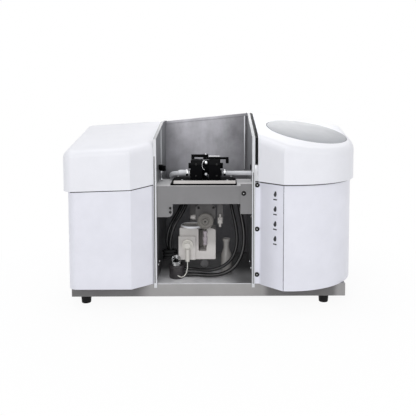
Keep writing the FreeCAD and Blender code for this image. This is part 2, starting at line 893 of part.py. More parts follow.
def key_shape(name, number, grow, depth):
    """A flush rounded key, standing through the angled key panel; grow widens it for its hole."""
    body = new_body(name)
    half = s.key_radius + grow
    tall = s.key_pitch * 0.4 + grow
    outline = [(-half, -tall), (half, -tall), (half, tall), (-half, tall)]
    proud = 0.6 if grow == 0 else 3
    pad(body, "XZ", -as_size(proud), depth, outline)
    dress(body, "Fillet", 3 + grow, lambda edge: edge.BoundBox.YLength > 5)
    share = 0.62
    spot = [
        key_fold_x + (s.key_panel_right - key_fold_x) * share,
        key_fold_y + (key_corner_y - key_fold_y) * share,
        s.key_top - 8 - s.key_pitch * number,
    ]
    body.Placement = FreeCAD.Placement(
        vector(*(float(value) for value in spot)), FreeCAD.Rotation(vector(0, 0, 1), key_angle))
    for axis, size in zip("xyz", spot):
        bind(body, "Placement.Base." + axis, size)
    return body


def make_lid():
    """Round lift-off lid over the lamps: bevelled rim, and a skirt that centres it in its mouth."""
    bevel = s.lid_thick * 0.3
    skirt = s.lamp_mouth - s.lid_gap
    seat_depth = s.lid_thick - s.lid_proud
    profile = [
        (0, 0), (skirt - s.wall, 0), (skirt - s.wall, -s.lid_skirt), (skirt, -s.lid_skirt), (skirt, 0),
        (s.lid_radius - 2, 0), (s.lid_radius, 2), (s.lid_radius, s.lid_thick - bevel),
        (s.lid_radius - s.lid_bevel, s.lid_thick - 0.8), (0, s.lid_thick),
    ]
    keep(lid_place(turned("lid_disc", profile), 0, 0, 0.2 - seat_depth), "lamp_lid")


def make_rear():
    """Rear panel with vents, mains inlet, rocker, gas bulkheads and the cooling fan."""
    panel = new_body("rear_panel")
    low = base_top + s.sheet
    left = s.cover_step + s.wall - s.left_end
    right = s.right_end - 10 - s.wall
    left_top = s.left_lip + 44
    right_top = s.right_lip + cover_lap
    pad(panel, "XZ", rear_inside, rear_y, [
        (left, low), (right, low), (right, right_top), (-s.chamber_left, right_top),
        (-s.chamber_left, left_top), (left, left_top)])
    drilled(panel, "XZ", rear_inside - 1, rear_y + 1, s.fan_x, s.fan_z, s.fan_radius)
    slot = [(-395, 96), (-345, 96), (-345, 101), (-395, 101)]
    for step in range(8):
        for shift in (0, 70, 140):
            moved = [(x + shift, z + step * 14) for x, z in slot]
            pocket(panel, "XZ", rear_inside - 1, rear_y + 1, moved)
    pocket(panel, "XZ", rear_inside - 1, rear_y + 1, [
        (s.inlet_x - 14, s.inlet_z - 25), (s.inlet_x + 14, s.inlet_z - 25),
        (s.inlet_x + 14, s.inlet_z + 25), (s.inlet_x - 14, s.inlet_z + 25)])
    keep(panel, "rear_panel")

    inlet = new_body("power_inlet")
    pad(inlet, "XZ", rear_y, rear_y + 4, [
        (s.inlet_x - 25, s.inlet_z - 29), (s.inlet_x + 25, s.inlet_z - 29),
        (s.inlet_x + 25, s.inlet_z + 29), (s.inlet_x - 25, s.inlet_z + 29)])
    pad(inlet, "XZ", rear_y - 24, rear_y, [
        (s.inlet_x - 13.7, s.inlet_z - 24.7), (s.inlet_x + 13.7, s.inlet_z - 24.7),
        (s.inlet_x + 13.7, s.inlet_z + 24.7), (s.inlet_x - 13.7, s.inlet_z + 24.7)])
    pocket(inlet, "XZ", rear_y - 16, rear_y + 5, [
        (s.inlet_x - 12, s.inlet_z - 20), (s.inlet_x + 12, s.inlet_z - 20),
        (s.inlet_x + 12, s.inlet_z - 4), (s.inlet_x + 7, s.inlet_z + 1),
        (s.inlet_x - 7, s.inlet_z + 1), (s.inlet_x - 12, s.inlet_z - 4)])
    pocket(inlet, "XZ", rear_y - 10, rear_y + 5, [
        (s.inlet_x - 11, s.inlet_z + 6), (s.inlet_x + 11, s.inlet_z + 6),
        (s.inlet_x + 11, s.inlet_z + 23), (s.inlet_x - 11, s.inlet_z + 23)])
    pins = [(0, -6), (-7, -13), (7, -13)]
    for pin_x, pin_z in pins:
        pad(inlet, "XZ", rear_y - 17, rear_y - 3, [
            (s.inlet_x + pin_x - 1, s.inlet_z + pin_z - 2), (s.inlet_x + pin_x + 1, s.inlet_z + pin_z - 2),
            (s.inlet_x + pin_x + 1, s.inlet_z + pin_z + 2), (s.inlet_x + pin_x - 1, s.inlet_z + pin_z + 2)])
    rocker_z = s.inlet_z + 14.5
    axle_y = rear_y + 2
    axle = 1.5
    drilled(inlet, "YZ", s.inlet_x - 12.5, s.inlet_x + 12.5, axle_y, rocker_z, axle + 0.04)
    keep(inlet, "power_inlet")
    rocker = new_body("power_rocker")
    pad(rocker, "YZ", -12, 12, ("circle", 0, 0, axle))
    pad(rocker, "YZ", -10.6, 10.6, [(-4, -7.6), (1.5, -7.6), (0.6, 0), (3.5, 7.6), (-4, 7.6)])
    place(rocker, s.inlet_x, axle_y, rocker_z)
    keep(rocker, "power_rocker")

    barbs = []
    for number, x in enumerate((-60, -20, 20)):
        barbs.append(turned("gas_barb", [
            (0, -8), (4, -8), (4, 0), (9, 0), (9, 8), (4, 8), (4, 26.5), (3.5, 27), (0, 27)],
            x, rear_y, s.gas_inlet_height, "Y"))
        drilled(panel, "XZ", rear_inside - 1, rear_y + 1, x, s.gas_inlet_height, 4.1)
    keep(group("gas_barbs", barbs), "gas_inlets")

    frame = new_body("fan_frame")
    half = s.fan_radius + 4
    pad(frame, "XZ", rear_inside - 25, rear_inside, [
        (s.fan_x - half, s.fan_z - half), (s.fan_x + half, s.fan_z - half),
        (s.fan_x + half, s.fan_z + half), (s.fan_x - half, s.fan_z + half)])
    drilled(frame, "XZ", rear_inside - 26, rear_inside + 1, s.fan_x, s.fan_z, s.fan_radius - 1)
    spoke = 5
    for vertical in (False, True):
        across = (spoke, half - 2) if vertical else (half - 2, spoke)
        pad(frame, "XZ", rear_inside - 25, rear_inside - 21, [
            (s.fan_x - across[0], s.fan_z - across[1]), (s.fan_x + across[0], s.fan_z - across[1]),
            (s.fan_x + across[0], s.fan_z + across[1]), (s.fan_x - across[0], s.fan_z + across[1])])
    pad(frame, "XZ", rear_inside - 21, rear_inside - 7, ("circle", s.fan_x, s.fan_z, 3))
    keep(frame, "fan_frame")
    rotor = new_body("fan_rotor")
    pad(rotor, "XY", 0, 16, ("circle", 0, 0, 20))
    blade = [(18, -3), (50, -9), (52, -4), (50, 2), (18, 1.5)]
    blade_pad = pad(rotor, "XY", 2, 14, blade)
    pattern = rotor.newObject("PartDesign::PolarPattern", "fan_blades")
    pattern.Originals = [blade_pad]
    pattern.Axis = (blade_pad.Profile[0], ["N_Axis"])
    pattern.Angle = 360
    pattern.Occurrences = 7
    rotor.Tip = pattern
    document.recompute()
    pocket(rotor, "XY", 2, 17, ("circle", 0, 0, 3.05))
    place(rotor, s.fan_x, rear_inside - 4.5, s.fan_z, "-Y")
    keep(rotor, "fan_rotor")


def make_optics():
    """Left side: bench on posts, monochromator with its mirrors and grating, detector."""
    bench_low = s.beam_height - s.bench_drop
    bench = new_body("bench_plate")
    floor = base_top + s.sheet
    case_low = bench_low + s.bench_thick
    pad(bench, "XY", bench_low, case_low, [
        (-s.bench_left, -s.bench_front), (-s.bench_inner, -s.bench_front),
        (-s.bench_inner, s.bench_back), (-s.bench_left, s.bench_back)])
    inset = s.bench_post + 5
    for post_x in (inset - s.bench_left, -s.bench_inner - inset):
        for post_y in (inset - s.bench_front, s.bench_back - inset):
            pad(bench, "XY", floor, bench_low, ("circle", post_x, post_y, s.bench_post))
    outside = box("case_outside", (-s.case_left, -s.case_inner), (-s.case_front, s.case_back),
                  (case_low, case_low + s.case_height))
    inside = box("case_room", (s.case_wall - s.case_left, -s.case_inner - s.case_wall),
                 (s.case_wall - s.case_front, s.case_back - s.case_wall),
                 (case_low + s.case_wall, case_low + s.case_height - s.case_wall))
    port = 6
    entry = turned("case_entry", rod(port, s.case_wall * 6), -s.case_inner - s.case_wall * 3,
                   -s.beam_depth, s.beam_height, "X")
    detector_y = 40
    exit_hole = turned("case_exit", rod(port, s.case_wall * 6), -s.case_left - s.case_wall * 3,
                       detector_y, s.beam_height, "X")
    casting = fused("casting", [bench, outside])
    keep(cut("case", casting, group("case_tools", [inside, entry, exit_hole])), "optical_bench")
    mirrors = []
    mirror_top = case_low + s.case_height - s.case_wall * 2
    half = 30
    for x, y, tilt in (
            (48 - s.case_left, s.case_back - 32, -12), (-s.case_inner - 48, 25 - s.case_front, 12)):
        plate = new_body("mirror")
        pad(plate, "XY", case_low + s.case_wall, mirror_top, [
            (-half, -5), (half, -5), (half, 5), (-half, 5)])
        mirrors.append(place(plate, x, y, 0, "Z", tilt))
    keep(group("mirrors", mirrors), "collimator_mirrors")
    table = new_body("grating_table")
    pad(table, "XY", 0, 8, ("circle", 0, 0, 30))
    pad(table, "XY", 8, 68, [(-25, -6), (25, -6), (25, 6), (-25, 6)])
    place(table, 55 - s.case_left, -20, case_low + s.case_wall + s.cover_gap)
    keep(table, "grating_table")
    keep(turned("photomultiplier", [
        (0, 0), (12, 0), (12, 6), (23, 6), (23, 62), (18, 66), (0, 66)],
        -s.case_left, detector_y, s.beam_height, "-X"), "photomultiplier")
    tubes = []
    lens = []
    bore = s.barrel_radius - s.barrel_wall
    ends = (
        (left_inside + s.barrel_left_reach, -1, s.barrel_left_reach),
        (right_inside - s.barrel_right_reach, 1, s.barrel_right_reach),
    )
    for x, side, reach in ends:
        axis = "X" if side > 0 else "-X"
        tubes.append(turned("barrel", ring(bore, s.barrel_radius, reach + 35),
                            x, -s.beam_depth, s.beam_height, axis))
        lens.append(turned("window", rod(bore, 3), x + 2 * side, -s.beam_depth, s.beam_height, axis))
    keep(group("barrels", tubes), "beam_barrels")
    keep(group("windows", lens), "beam_windows")
    tall = s.beam_height - s.barrel_radius - shelf_top - 1
    keep(turned("flame_sensor", [
        (0, 0, 4.5), (4.5, 4.5, 4.5), (2, 8.53), (2, tall - 13), (5, tall - 7), (6, tall - 7),
        (6, tall), (0, tall)],
        left_inside + 7.5, -s.beam_depth, shelf_top + 1), "flame_sensor")


def make_electronics():
    """Vented power supply, main circuit board on stand-offs and the gas control block."""
    supply = new_body("power_supply")
    supply_right = s.supply_left + s.supply_width
    supply_back = s.supply_front + s.supply_depth
    pad(supply, "XY", base_top, base_top + s.supply_height, [
        (s.supply_left, s.supply_front), (supply_right, s.supply_front),
        (supply_right, supply_back), (s.supply_left, supply_back)])
    vent_pitch = (s.supply_depth - 20) / 9
    for step in range(9):
        vent = s.supply_front + 13 + vent_pitch * step
        pocket(supply, "YZ", s.supply_left - 1, s.supply_left + 4, [
            (vent, base_top + 20), (vent + 5, base_top + 20),
            (vent + 5, base_top + s.supply_height - 20), (vent, base_top + s.supply_height - 20)])
    keep(supply, "power_supply")
    board = new_body("main_board")
    board_right = s.board_width - s.board_left
    board_top = s.board_low + s.board_height
    laminate = 2
    stand_off = 12
    face = rear_inside - stand_off - laminate
    pad(board, "XZ", face, rear_inside - stand_off, [
        (-s.board_left, s.board_low), (board_right, s.board_low),
        (board_right, board_top), (-s.board_left, board_top)])
    for x in (8 - s.board_left, board_right - 8):
        for z in (s.board_low + 8, board_top - 8):
            pad(board, "XZ", rear_inside - stand_off, rear_inside, ("circle", x, z, 3))
    chip_rise = 8
    for x, z, wide, tall in ((50, 30, 40, 40), (115, 20, 30, 22), (115, 60, 44, 16)):
        chip_x = x - s.board_left
        chip_z = s.board_low + z
        pad(board, "XZ", face - chip_rise, face, [
            (chip_x, chip_z), (chip_x + wide, chip_z), (chip_x + wide, chip_z + tall),
            (chip_x, chip_z + tall)])
    keep(board, "main_board")
    block = new_body("gas_control_block")
    block_right = s.control_left + s.control_width
    block_back = s.control_depth - s.control_front
    block_top = base_top + s.control_height
    pad(block, "XY", base_top, block_top, [
        (s.control_left, -s.control_front), (block_right, -s.control_front),
        (block_right, block_back), (s.control_left, block_back)])
    for step in (-1, 0, 1):
        pad(block, "XY", block_top, block_top + s.valve_height, (
            "circle", s.control_left + s.control_width * 0.5 + s.valve_radius * 3 * step,
            block_back - s.control_depth * 0.5, s.valve_radius))
    keep(block, "gas_control_block")


turret_z = s.beam_height - s.turret_pitch
turret_disc = s.turret_pitch + s.lamp_radius + 6
lamp_back_x = s.lamp_front_x + s.lamp_length
upright_x = lamp_back_x + 30


def make_lamps():
    """Lamp bench, turret with eight lamps on a shaft along X, and its motor."""
    frame = new_body("lamp_bench")
    low = turret_z - turret_disc - 20
    pad(frame, "XY", low, low + 6, [
        (s.lamp_bench_left, -s.lamp_bench_front), (s.lamp_bench_right, -s.lamp_bench_front),
        (s.lamp_bench_right, s.lamp_bench_back), (s.lamp_bench_left, s.lamp_bench_back)])
    inset = 15
    for post_x in (s.lamp_bench_left + inset, s.lamp_bench_right - inset - 5):
        for post_y in (inset - s.lamp_bench_front, s.lamp_bench_back - inset):
            pad(frame, "XY", base_top, low, ("circle", post_x, post_y, 8))
    pad(frame, "YZ", upright_x, upright_x + 8, [
        (-s.beam_depth - 45, low + 6), (45 - s.beam_depth, low + 6),
        (20 - s.beam_depth, turret_z + 25), (-s.beam_depth - 20, turret_z + 25)])
    drilled(frame, "YZ", upright_x - 1, upright_x + 9, -s.beam_depth, turret_z, 6.05)
    keep(frame, "lamp_bench")
    turret = new_body("lamp_turret")
    length = s.lamp_length + 28 + 16
    pad(turret, "XY", 0, length, ("circle", 0, 0, 6))
    for low_x in (30, s.lamp_length - 34):
        pad(turret, "XY", low_x, as_size(low_x) + 5, ("circle", 0, 0, turret_disc))
    pad(turret, "XY", 14, s.lamp_length + 10, ("circle", 0, 0, 18))
    hole = drilled(turret, "XY", 20, s.lamp_length - 10, 0, s.turret_pitch, s.lamp_radius + 0.1)
    pattern = turret.newObject("PartDesign::PolarPattern", "lamp_holes")
    pattern.Originals = [hole]
    pattern.Axis = (hole.Profile[0], ["N_Axis"])
    pattern.Angle = 360
    pattern.Occurrences = sizes["lamp_count"]
    turret.Tip = pattern
    document.recompute()
    place(turret, s.lamp_front_x, -s.beam_depth, turret_z, "X")
    keep(turret, "lamp_turret")
    lamps = []
    for number in range(sizes["lamp_count"]):
        angle = math.radians(90 + number * 360 / sizes["lamp_count"])
        y = s.turret_pitch * math.cos(angle) - s.beam_depth
        z = s.turret_pitch * math.sin(angle) + turret_z
        lamps.append(turned("lamp", [
            (0, 1.5), (s.lamp_radius - 3, 1.5), (s.lamp_radius - 3, 0), (s.lamp_radius, 0),
            (s.lamp_radius, s.lamp_length - 24), (s.lamp_radius - 2, s.lamp_length - 24),
            (s.lamp_radius - 2, s.lamp_length), (0, s.lamp_length)],
            s.lamp_front_x, y, z, "X"))
    keep(group("lamps", lamps), "hollow_cathode_lamps")
    keep(turned("turret_motor", [
        (7, 0), (28, 0), (28, 46), (24, 50), (0, 50), (0, 12), (7, 12)],
        upright_x + 8, -s.beam_depth, turret_z, "X"), "turret_motor")


def add_tube_housing(body, middle, deck):
    """Round tube housing with its dosing hole, in one piece with the left contact block."""
    half = s.block_gap * 0.5
    pad(body, "YZ", middle - half, middle + half - 0.7, ("circle", -s.beam_depth, s.beam_height, 23.5))
    pad(body, "YZ", middle - half, middle + half - 4, [
        (-s.beam_depth - 14, deck), (14 - s.beam_depth, deck),
        (14 - s.beam_depth, s.beam_height), (-s.beam_depth - 14, s.beam_height)])
    drilled(body, "YZ", middle - half, middle + half, -s.beam_depth, s.beam_height, 9)
    drilled(body, "XY", s.beam_height + 17, s.beam_height + 25, middle, -s.beam_depth, 3.02)
    drilled(body, "XZ", -s.beam_depth - 30, -s.beam_depth, middle, s.beam_height + 4, 4)


def make_furnace():
    """Graphite furnace on the shelf: base, contact blocks, tube, clamp levers, hoses."""
    left = -s.furnace_base_left
    front = -s.pan_front + 15
    low = shelf_top
    base = new_body("furnace_base_plate")
    thick = s.furnace_base_thick
    depth = s.furnace_base_depth - 15
    pad(base, "XY", low, low + thick, [
        (left, front), (s.furnace_base_right, front),
        (s.furnace_base_right, front + depth), (left, front + depth)])
    pad(base, "XY", low + thick, low + thick * 2, [
        (left + 8, front + 10), (s.furnace_base_right - 8, front + 10),
        (s.furnace_base_right - 8, front + depth - 8), (left + 8, front + depth - 8)])
    keep(base, "furnace_base_plate")
    keep(box("front_strip", (left + 10, left + 10 + s.strip_length), (front, front + s.strip_thick),
             (low + thick, low + thick + s.strip_height)), "furnace_front_strip")
    deck = low + thick * 2
    top = s.beam_height + s.block_over_beam
    middle = -s.furnace_x
    blocks = {}
    for side, name in ((-1, "furnace_block_left"), (1, "furnace_block_right")):
        inner = middle + s.block_gap * 0.5 * side
        outer = inner + s.block_width * side
        low_x, high_x = sorted((inner, outer), key=float)
        body = new_body(name)
        lift = 0 if side < 0 else 0.3
        y_low = -s.beam_depth - s.block_depth * 0.5
        outline = [
            (y_low, deck + lift), (y_low + s.block_depth, deck + lift),
            (y_low + s.block_depth, top - 12),
            (y_low + s.block_depth - 12, top),
            (y_low + 12, top), (y_low, top - 12)]
        pad(body, "YZ", low_x, high_x, outline)
        boss_low, boss_high = sorted((outer, outer + 8 * side), key=float)
        pad(body, "YZ", boss_low, boss_high, ("circle", -s.beam_depth, deck + 39, 9))
        spigot_low, spigot_high = sorted((outer, outer + 4 * side), key=float)
        pad(body, "YZ", spigot_low, spigot_high, ("circle", -s.beam_depth, deck + 15.5, s.water_hose_radius))
        if side < 0:
            add_tube_housing(body, middle, deck)
        drilled(body, "YZ", middle - 100, middle + 100, -s.beam_depth, s.beam_height, s.tube_radius + 0.3)
        keep(body, name)
    tube = turned("graphite_tube", ring(s.tube_radius - 1.2, s.tube_radius, s.tube_length),
                  middle - s.tube_length * 0.5, -s.beam_depth, s.beam_height, "X")
    keep(tube, "graphite_tube")
    post_z = s.beam_height + 23
    post = turned("lever_post", [
        (0, -6), (3, -6), (3, 17), (6, 17), (6, 21), (0, 21)], middle, -s.beam_depth, post_z)
    keep(post, "lever_post")
    lever_low = post_z + 3.5
    right_lever = new_body("clamp_lever_right")
    pad(right_lever, "XY", 0, 5, [(-8, -5), (72, -5), (72, 5), (-8, 5)])
    pad(right_lever, "XY", -14, 0, [(64, -5), (72, -5), (72, 5), (64, 5)])
    drilled(right_lever, "XY", -1, 6, 0, 0, 3.05)
    place(right_lever, middle, -s.beam_depth, lever_low)
    keep(right_lever, "clamp_lever_right")
    left_lever = new_body("clamp_lever_left")
    pad(left_lever, "XY", 0, 5, [(-45, -4), (8, -4), (8, 4), (-45, 4)])
    pad(left_lever, "XY", -5.5, 0, [(-45, -4), (-38, -4), (-38, 4), (-45, 4)])
    drilled(left_lever, "XY", -1, 6, 0, 0, 3.05)
    place(left_lever, middle, -s.beam_depth, lever_low + 5.4)
    keep(left_lever, "clamp_lever_left")
    hose_z = deck + 15.5
    left_end = middle - s.block_gap * 0.5 - s.block_width
    right_end = middle + s.block_gap * 0.5 + s.block_width
    start = left_end - 4
    left_hose = hose("left_water_hose", s.water_hose_radius, [
        (start, -60, hose_z), (start - 25, -60, hose_z), (start - 47, -48, hose_z - 2),
        (start - 60, -26, hose_z - 7), (start - 63, -1, hose_z - 16), (start - 61, 20, hose_z - 32),
        (start - 57, 36, hose_z - 54), (start - 53, 50, hose_z - 78), (start - 50, 70, hose_z - 96),
        (start - 49, 96, hose_z - 104), (start - 49, 130, hose_z - 106),
        (start - 49, s.chamber_back - s.sheet, hose_z - 106)])
    right_hose = turned("right_water_hose", rod(s.water_hose_radius, right_inside - right_end - 4),
                        right_end + 4, -s.beam_depth, hose_z, "X")
    keep(group("water_hose_pair", [left_hose, right_hose]), "water_hoses")
    clamps = [
        turned("hose_clamp", ring(s.water_hose_radius + 0.1, s.water_hose_radius + 2, 7),
               start - 12, -s.beam_depth, hose_z, "X"),
        turned("hose_clamp", ring(s.water_hose_radius + 0.1, s.water_hose_radius + 2, 7),
               right_end + 10, -s.beam_depth, hose_z, "X")]
    keep(group("hose_clamp_pair", clamps), "hose_clamps")


def make_atomiser():
    """Lower bay: lift rail, handwheel, spray chamber, nebuliser, plug, trap and hoses."""
    under = shelf_top - s.sheet
    bracket = new_body("lift_bracket")
    rail_front = -s.spray_back + 0.3
    plate_y = -100
    pad(bracket, "YZ", -80, -20, [
        (rail_front, 108), (rail_front + 10, 108), (rail_front + 10, under), (rail_front, under)])
    middle = -s.furnace_x
    plate_low = s.wheel_height - 12
    shoulder = s.wheel_height + 37
    pad(bracket, "XZ", plate_y, plate_y + 4, [
        (middle - 17, plate_low), (middle + 17, plate_low), (middle + 31, plate_low + 15),
        (middle + 31, shoulder), (middle + 19, shoulder + 12), (middle + 19, under),
        (middle - 19, under), (middle - 19, shoulder + 12), (middle - 31, shoulder),
        (middle - 31, plate_low + 10)])
    strap_left = middle + 36
    strap_right = middle + 54
    pad(bracket, "XZ", plate_y, plate_y + 3, [
        (strap_left, s.wheel_height - 15), (strap_right, s.wheel_height - 15),
        (strap_right, under), (strap_left, under)])
    pad(bracket, "XY", under - 4, under, [
        (middle - 19, plate_y), (strap_right, plate_y), (strap_right, rail_front + 10),
        (-80, rail_front + 10), (-80, rail_front), (middle - 19, rail_front)])
    drilled(bracket, "XZ", plate_y - 1, plate_y + 5, -s.furnace_x, s.wheel_height, 5.05)
    keep(bracket, "lift_bracket")
    stub = turned("aerosol_connector", [
        (0, 0), (8, 0), (8, 9), (6, 9), (6, 15), (0, 15)],
        middle - 31, plate_y + 2, s.wheel_height + 7, "-X")
    block_middle = (strap_left + strap_right) * 0.5
    valve = new_body("gas_valve")
    pad(valve, "XZ", plate_y - 10, plate_y, [
        (strap_left + 2, s.wheel_height - 11), (strap_right - 2, s.wheel_height - 11),
        (strap_right - 2, s.wheel_height + 7), (strap_left + 2, s.wheel_height + 7)])
    pad(valve, "XY", s.wheel_height + 7, s.wheel_height + 17, ("circle", block_middle, plate_y - 5, 3.5))
    pad(valve, "XY", s.wheel_height - 22, s.wheel_height - 11, ("circle", block_middle, plate_y - 5, 4))
    pad(valve, "XZ", plate_y - 16, plate_y - 10, ("circle", block_middle, s.wheel_height - 2, 5))
    keep(group("gas_fitting_set", [stub, valve]), "gas_fittings")
    wheel = turned("handwheel", [
        (0, 44), (5, 44), (5, s.wheel_thick), (s.wheel_radius - 2, s.wheel_thick),
        (s.wheel_radius, s.wheel_thick - 2), (s.wheel_radius, 2), (s.wheel_radius - 2, 0),
        (9, 0), (7, -4), (0, -4)], -s.furnace_x, -s.wheel_front - s.wheel_thick, s.wheel_height, "Y")
    keep(wheel, "handwheel")
    chamber = new_body("spray_chamber")
    low = s.spray_low
    high = s.spray_high
    left = -s.spray_left
    back = -s.spray_back - 4
    bar = low + 26
    pad(chamber, "XZ", -s.spray_front, back, [
        (left, low), (s.spray_right, low), (s.spray_right, high - 6), (s.spray_right - 28, high + 5),
        (s.spray_right - 28, bar), (left + 58, bar), (left + 58, high - 3), (left, high)])
    dress(chamber, "Fillet", 3, lambda edge: edge.BoundBox.YLength > 20)
    pad(chamber, "XZ", back, -s.spray_back, [(left + 20, low), (left + 100, low), (left + 100, high - 20),
                                             (left + 20, high - 20)])
    pad(chamber, "XZ", -s.spray_front - 6, -s.spray_front, [
        (left - 3, low), (left + 49, low), (left + 49, high - 25), (left - 3, high - 25)])
    dish_x = left + 37
    dish_y = -s.spray_front + s.dish_radius
    pad(chamber, "XY", high - 6, high + 3, ("circle", dish_x, dish_y, s.dish_radius))
    pocket(chamber, "XY", high - 0.5, high + 4, ("circle", dish_x, dish_y, s.dish_radius - 3.5))
    riser_x = s.spray_right - 35
    riser_y = back - 13
    for riser_low, riser_high, riser_radius in (
            (bar - 1, high - 12, 3.2), (bar + 14, bar + 34, 5), (bar + 40, bar + 54, 4.6)):
        pad(chamber, "XY", riser_low, riser_high, ("circle", riser_x, riser_y, riser_radius))
    keep(chamber, "spray_chamber")
    nozzle_x = left + 25
    nozzle_z = low + 47
    boss = turned("nebuliser_body", [
        (0, 0), (9, 0), (9, 6), (12, 6), (12, 10), (17, 10), (17, 16), (0, 16)],
        nozzle_x, -s.spray_front - 6 - 16, nozzle_z, "Y")
    spout = turned("nebuliser_spout", rod(6.5, 38), nozzle_x, -s.spray_front - 6 - 9, low - 2)
    keep(fused("nebuliser_whole", [boss, spout]), "nebuliser")
    spout_y = -s.spray_front - 15
    keep(hose("capillary", 1.3, [
        (nozzle_x, spout_y, low - 2), (nozzle_x, spout_y, 104), (nozzle_x - 1, spout_y - 6, 91),
        (nozzle_x - 5, spout_y - 12, 80), (nozzle_x - 12, spout_y - 16, 73.5),
        (nozzle_x - 21, spout_y - 17, 72.5), (nozzle_x - 29, spout_y - 15, 77)]), "sample_capillary")
    keep(turned("spray_chamber_plug", [
        (0, 0), (11, 0), (14.5, 3), (14.5, 16), (11, 20), (11, 44), (0, 44)],
        left + 77, -s.spray_front - 3, low - 14.7, "Y"), "spray_chamber_plug")
    trap = turned("drain_trap", [
        (0, 0), (22, 0), (24, 4), (24, 34), (27, 36), (27, 42), (0, 42)], -118, -100, base_top)
    for socket_z, socket_radius in ((9, s.drain_hose_radius), (27, s.hose_radius)):
        drilled(trap, "YZ", 18, 30, 0, socket_z, socket_radius + 0.05)
    keep(trap, "drain_trap")
    vessel = turned("trap_vessel", [
        (0, 0), (17, 0), (17, 60), (9, 82), (9, 104), (12, 104), (12, 112), (0, 112)],
        36, -60, base_top)
    keep(vessel, "drain_vessel")
    pot_top = base_top + 42
    gas = [
        hose("gas_hose", s.hose_radius, [
            (-82, -64, under), (-82, -64, 320), (-88, -72, 288), (-104, -82, 256), (-124, -92, 226),
            (-136, -98, 192), (-140, -102, 158), (-130, -100, 128), (-130, -100, pot_top)]),
        hose("gas_hose", s.hose_radius, [
            (-94, -48, under), (-94, -48, 320), (-101, -56, 288), (-118, -68, 256), (-137, -80, 226),
            (-148, -90, 192), (-150, -94, 158), (-122, -84, 126), (-122, -84, pot_top)]),
        hose("gas_hose", s.hose_radius, [
            (46, -70, under), (46, -70, 315), (54, -80, 266), (66, -92, 218), (70, -104, 172),
            (58, -116, 130), (30, -126, 104), (-6, -128, 91), (-38, -117, 88), (-62, -104, 88),
            (-80, -100, 88), (-100, -100, 88)])]
    keep(group("gas_hose_set", gas), "gas_hoses")
    keep(hose("drain_tube", s.drain_hose_radius, [
        (70, -56, under), (70, -56, 306), (82, -70, 252), (92, -86, 196), (88, -100, 142),
        (66, -112, 100), (30, -116, 76), (-14, -110, 69), (-56, -100, 70), (-100, -100, 70)]),
        "drain_hose")


make_base()
make_chamber()
make_shelf()
make_left_covers()
make_right_covers()
make_lid()
make_rear()
make_optics()
make_electronics()
make_lamps()
make_furnace()
make_atomiser()
document.recompute()

for item in document.Objects:
    if any(word in item.State for word in ("Invalid", "Error", "Touched")):
        raise RuntimeError("%s is %s" % (item.Label, item.State))
for part in parts:
    if part.Shape.isNull() or not part.Shape.isValid():
        raise RuntimeError("%s has no valid shape" % part.Label)
os.makedirs("parts", exist_ok=True)
for part in parts:
    part.Shape.exportStep("parts/%s.step" % part.Label)
print(len(parts), "sub-parts")
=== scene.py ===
import json
import math
import bmesh
import bpy
from mathutils import Matrix, Vector

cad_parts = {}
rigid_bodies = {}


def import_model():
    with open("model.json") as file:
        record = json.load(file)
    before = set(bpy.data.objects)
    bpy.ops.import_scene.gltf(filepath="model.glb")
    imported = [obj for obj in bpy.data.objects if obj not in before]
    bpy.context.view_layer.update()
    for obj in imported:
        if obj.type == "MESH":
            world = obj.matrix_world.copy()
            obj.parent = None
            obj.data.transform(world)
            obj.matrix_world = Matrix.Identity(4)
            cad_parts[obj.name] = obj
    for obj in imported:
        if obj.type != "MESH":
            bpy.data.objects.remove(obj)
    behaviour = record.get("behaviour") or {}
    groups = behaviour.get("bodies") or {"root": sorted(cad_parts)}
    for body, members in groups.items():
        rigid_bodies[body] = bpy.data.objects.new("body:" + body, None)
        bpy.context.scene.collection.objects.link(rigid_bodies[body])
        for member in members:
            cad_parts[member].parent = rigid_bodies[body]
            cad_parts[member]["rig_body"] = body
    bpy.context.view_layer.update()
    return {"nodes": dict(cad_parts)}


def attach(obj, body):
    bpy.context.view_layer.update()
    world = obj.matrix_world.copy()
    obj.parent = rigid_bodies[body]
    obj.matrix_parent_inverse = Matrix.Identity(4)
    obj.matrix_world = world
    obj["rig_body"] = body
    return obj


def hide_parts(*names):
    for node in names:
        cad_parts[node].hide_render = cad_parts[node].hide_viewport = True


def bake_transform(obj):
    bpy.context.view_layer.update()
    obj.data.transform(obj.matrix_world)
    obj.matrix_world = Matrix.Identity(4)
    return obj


# Atomic absorption spectrophotometer: camera, light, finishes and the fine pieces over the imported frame.

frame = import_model()
print("frame loaded", len(frame["nodes"]), "nodes")


def linkObject(name, data):
    item = bpy.data.objects.new(name, data)
    bpy.context.scene.collection.objects.link(item)
    return item


# camera
cameraSettings = {
    "place": (0.0102, -1.8098, 0.608),
    "pitch": 4.0,              # degrees below level
    "yaw": -0.75,              # degrees to the right
    "focalPixels": 560.2,      # of a 416 pixel image
    "imagePixels": 416,
    "levelPixel": (225.5, 100.8),  # where a level line straight ahead meets the image
    "sensorWidth": 36,
    "clip": (0.05, 60),
}


def makeCamera(options):
    data = bpy.data.cameras.new("camera")
    camera = linkObject("camera", data)
    size, focal = options["imagePixels"], options["focalPixels"]
    pitch = math.radians(options["pitch"])
    data.sensor_width = options["sensorWidth"]
    data.lens = options["sensorWidth"] * focal / size
    axisX = options["levelPixel"][0]
    axisY = options["levelPixel"][1] + focal * math.tan(pitch)
    data.shift_x = (size / 2 - axisX) / size
    data.shift_y = (axisY - size / 2) / size
    data.clip_start, data.clip_end = options["clip"]
    camera.location = options["place"]
    camera.rotation_euler = (math.radians(90) - pitch, 0, math.radians(options["yaw"]))
    bpy.context.scene.camera = camera


makeCamera(cameraSettings)
bpy.context.scene.view_settings.view_transform = "Standard"
print("camera made")


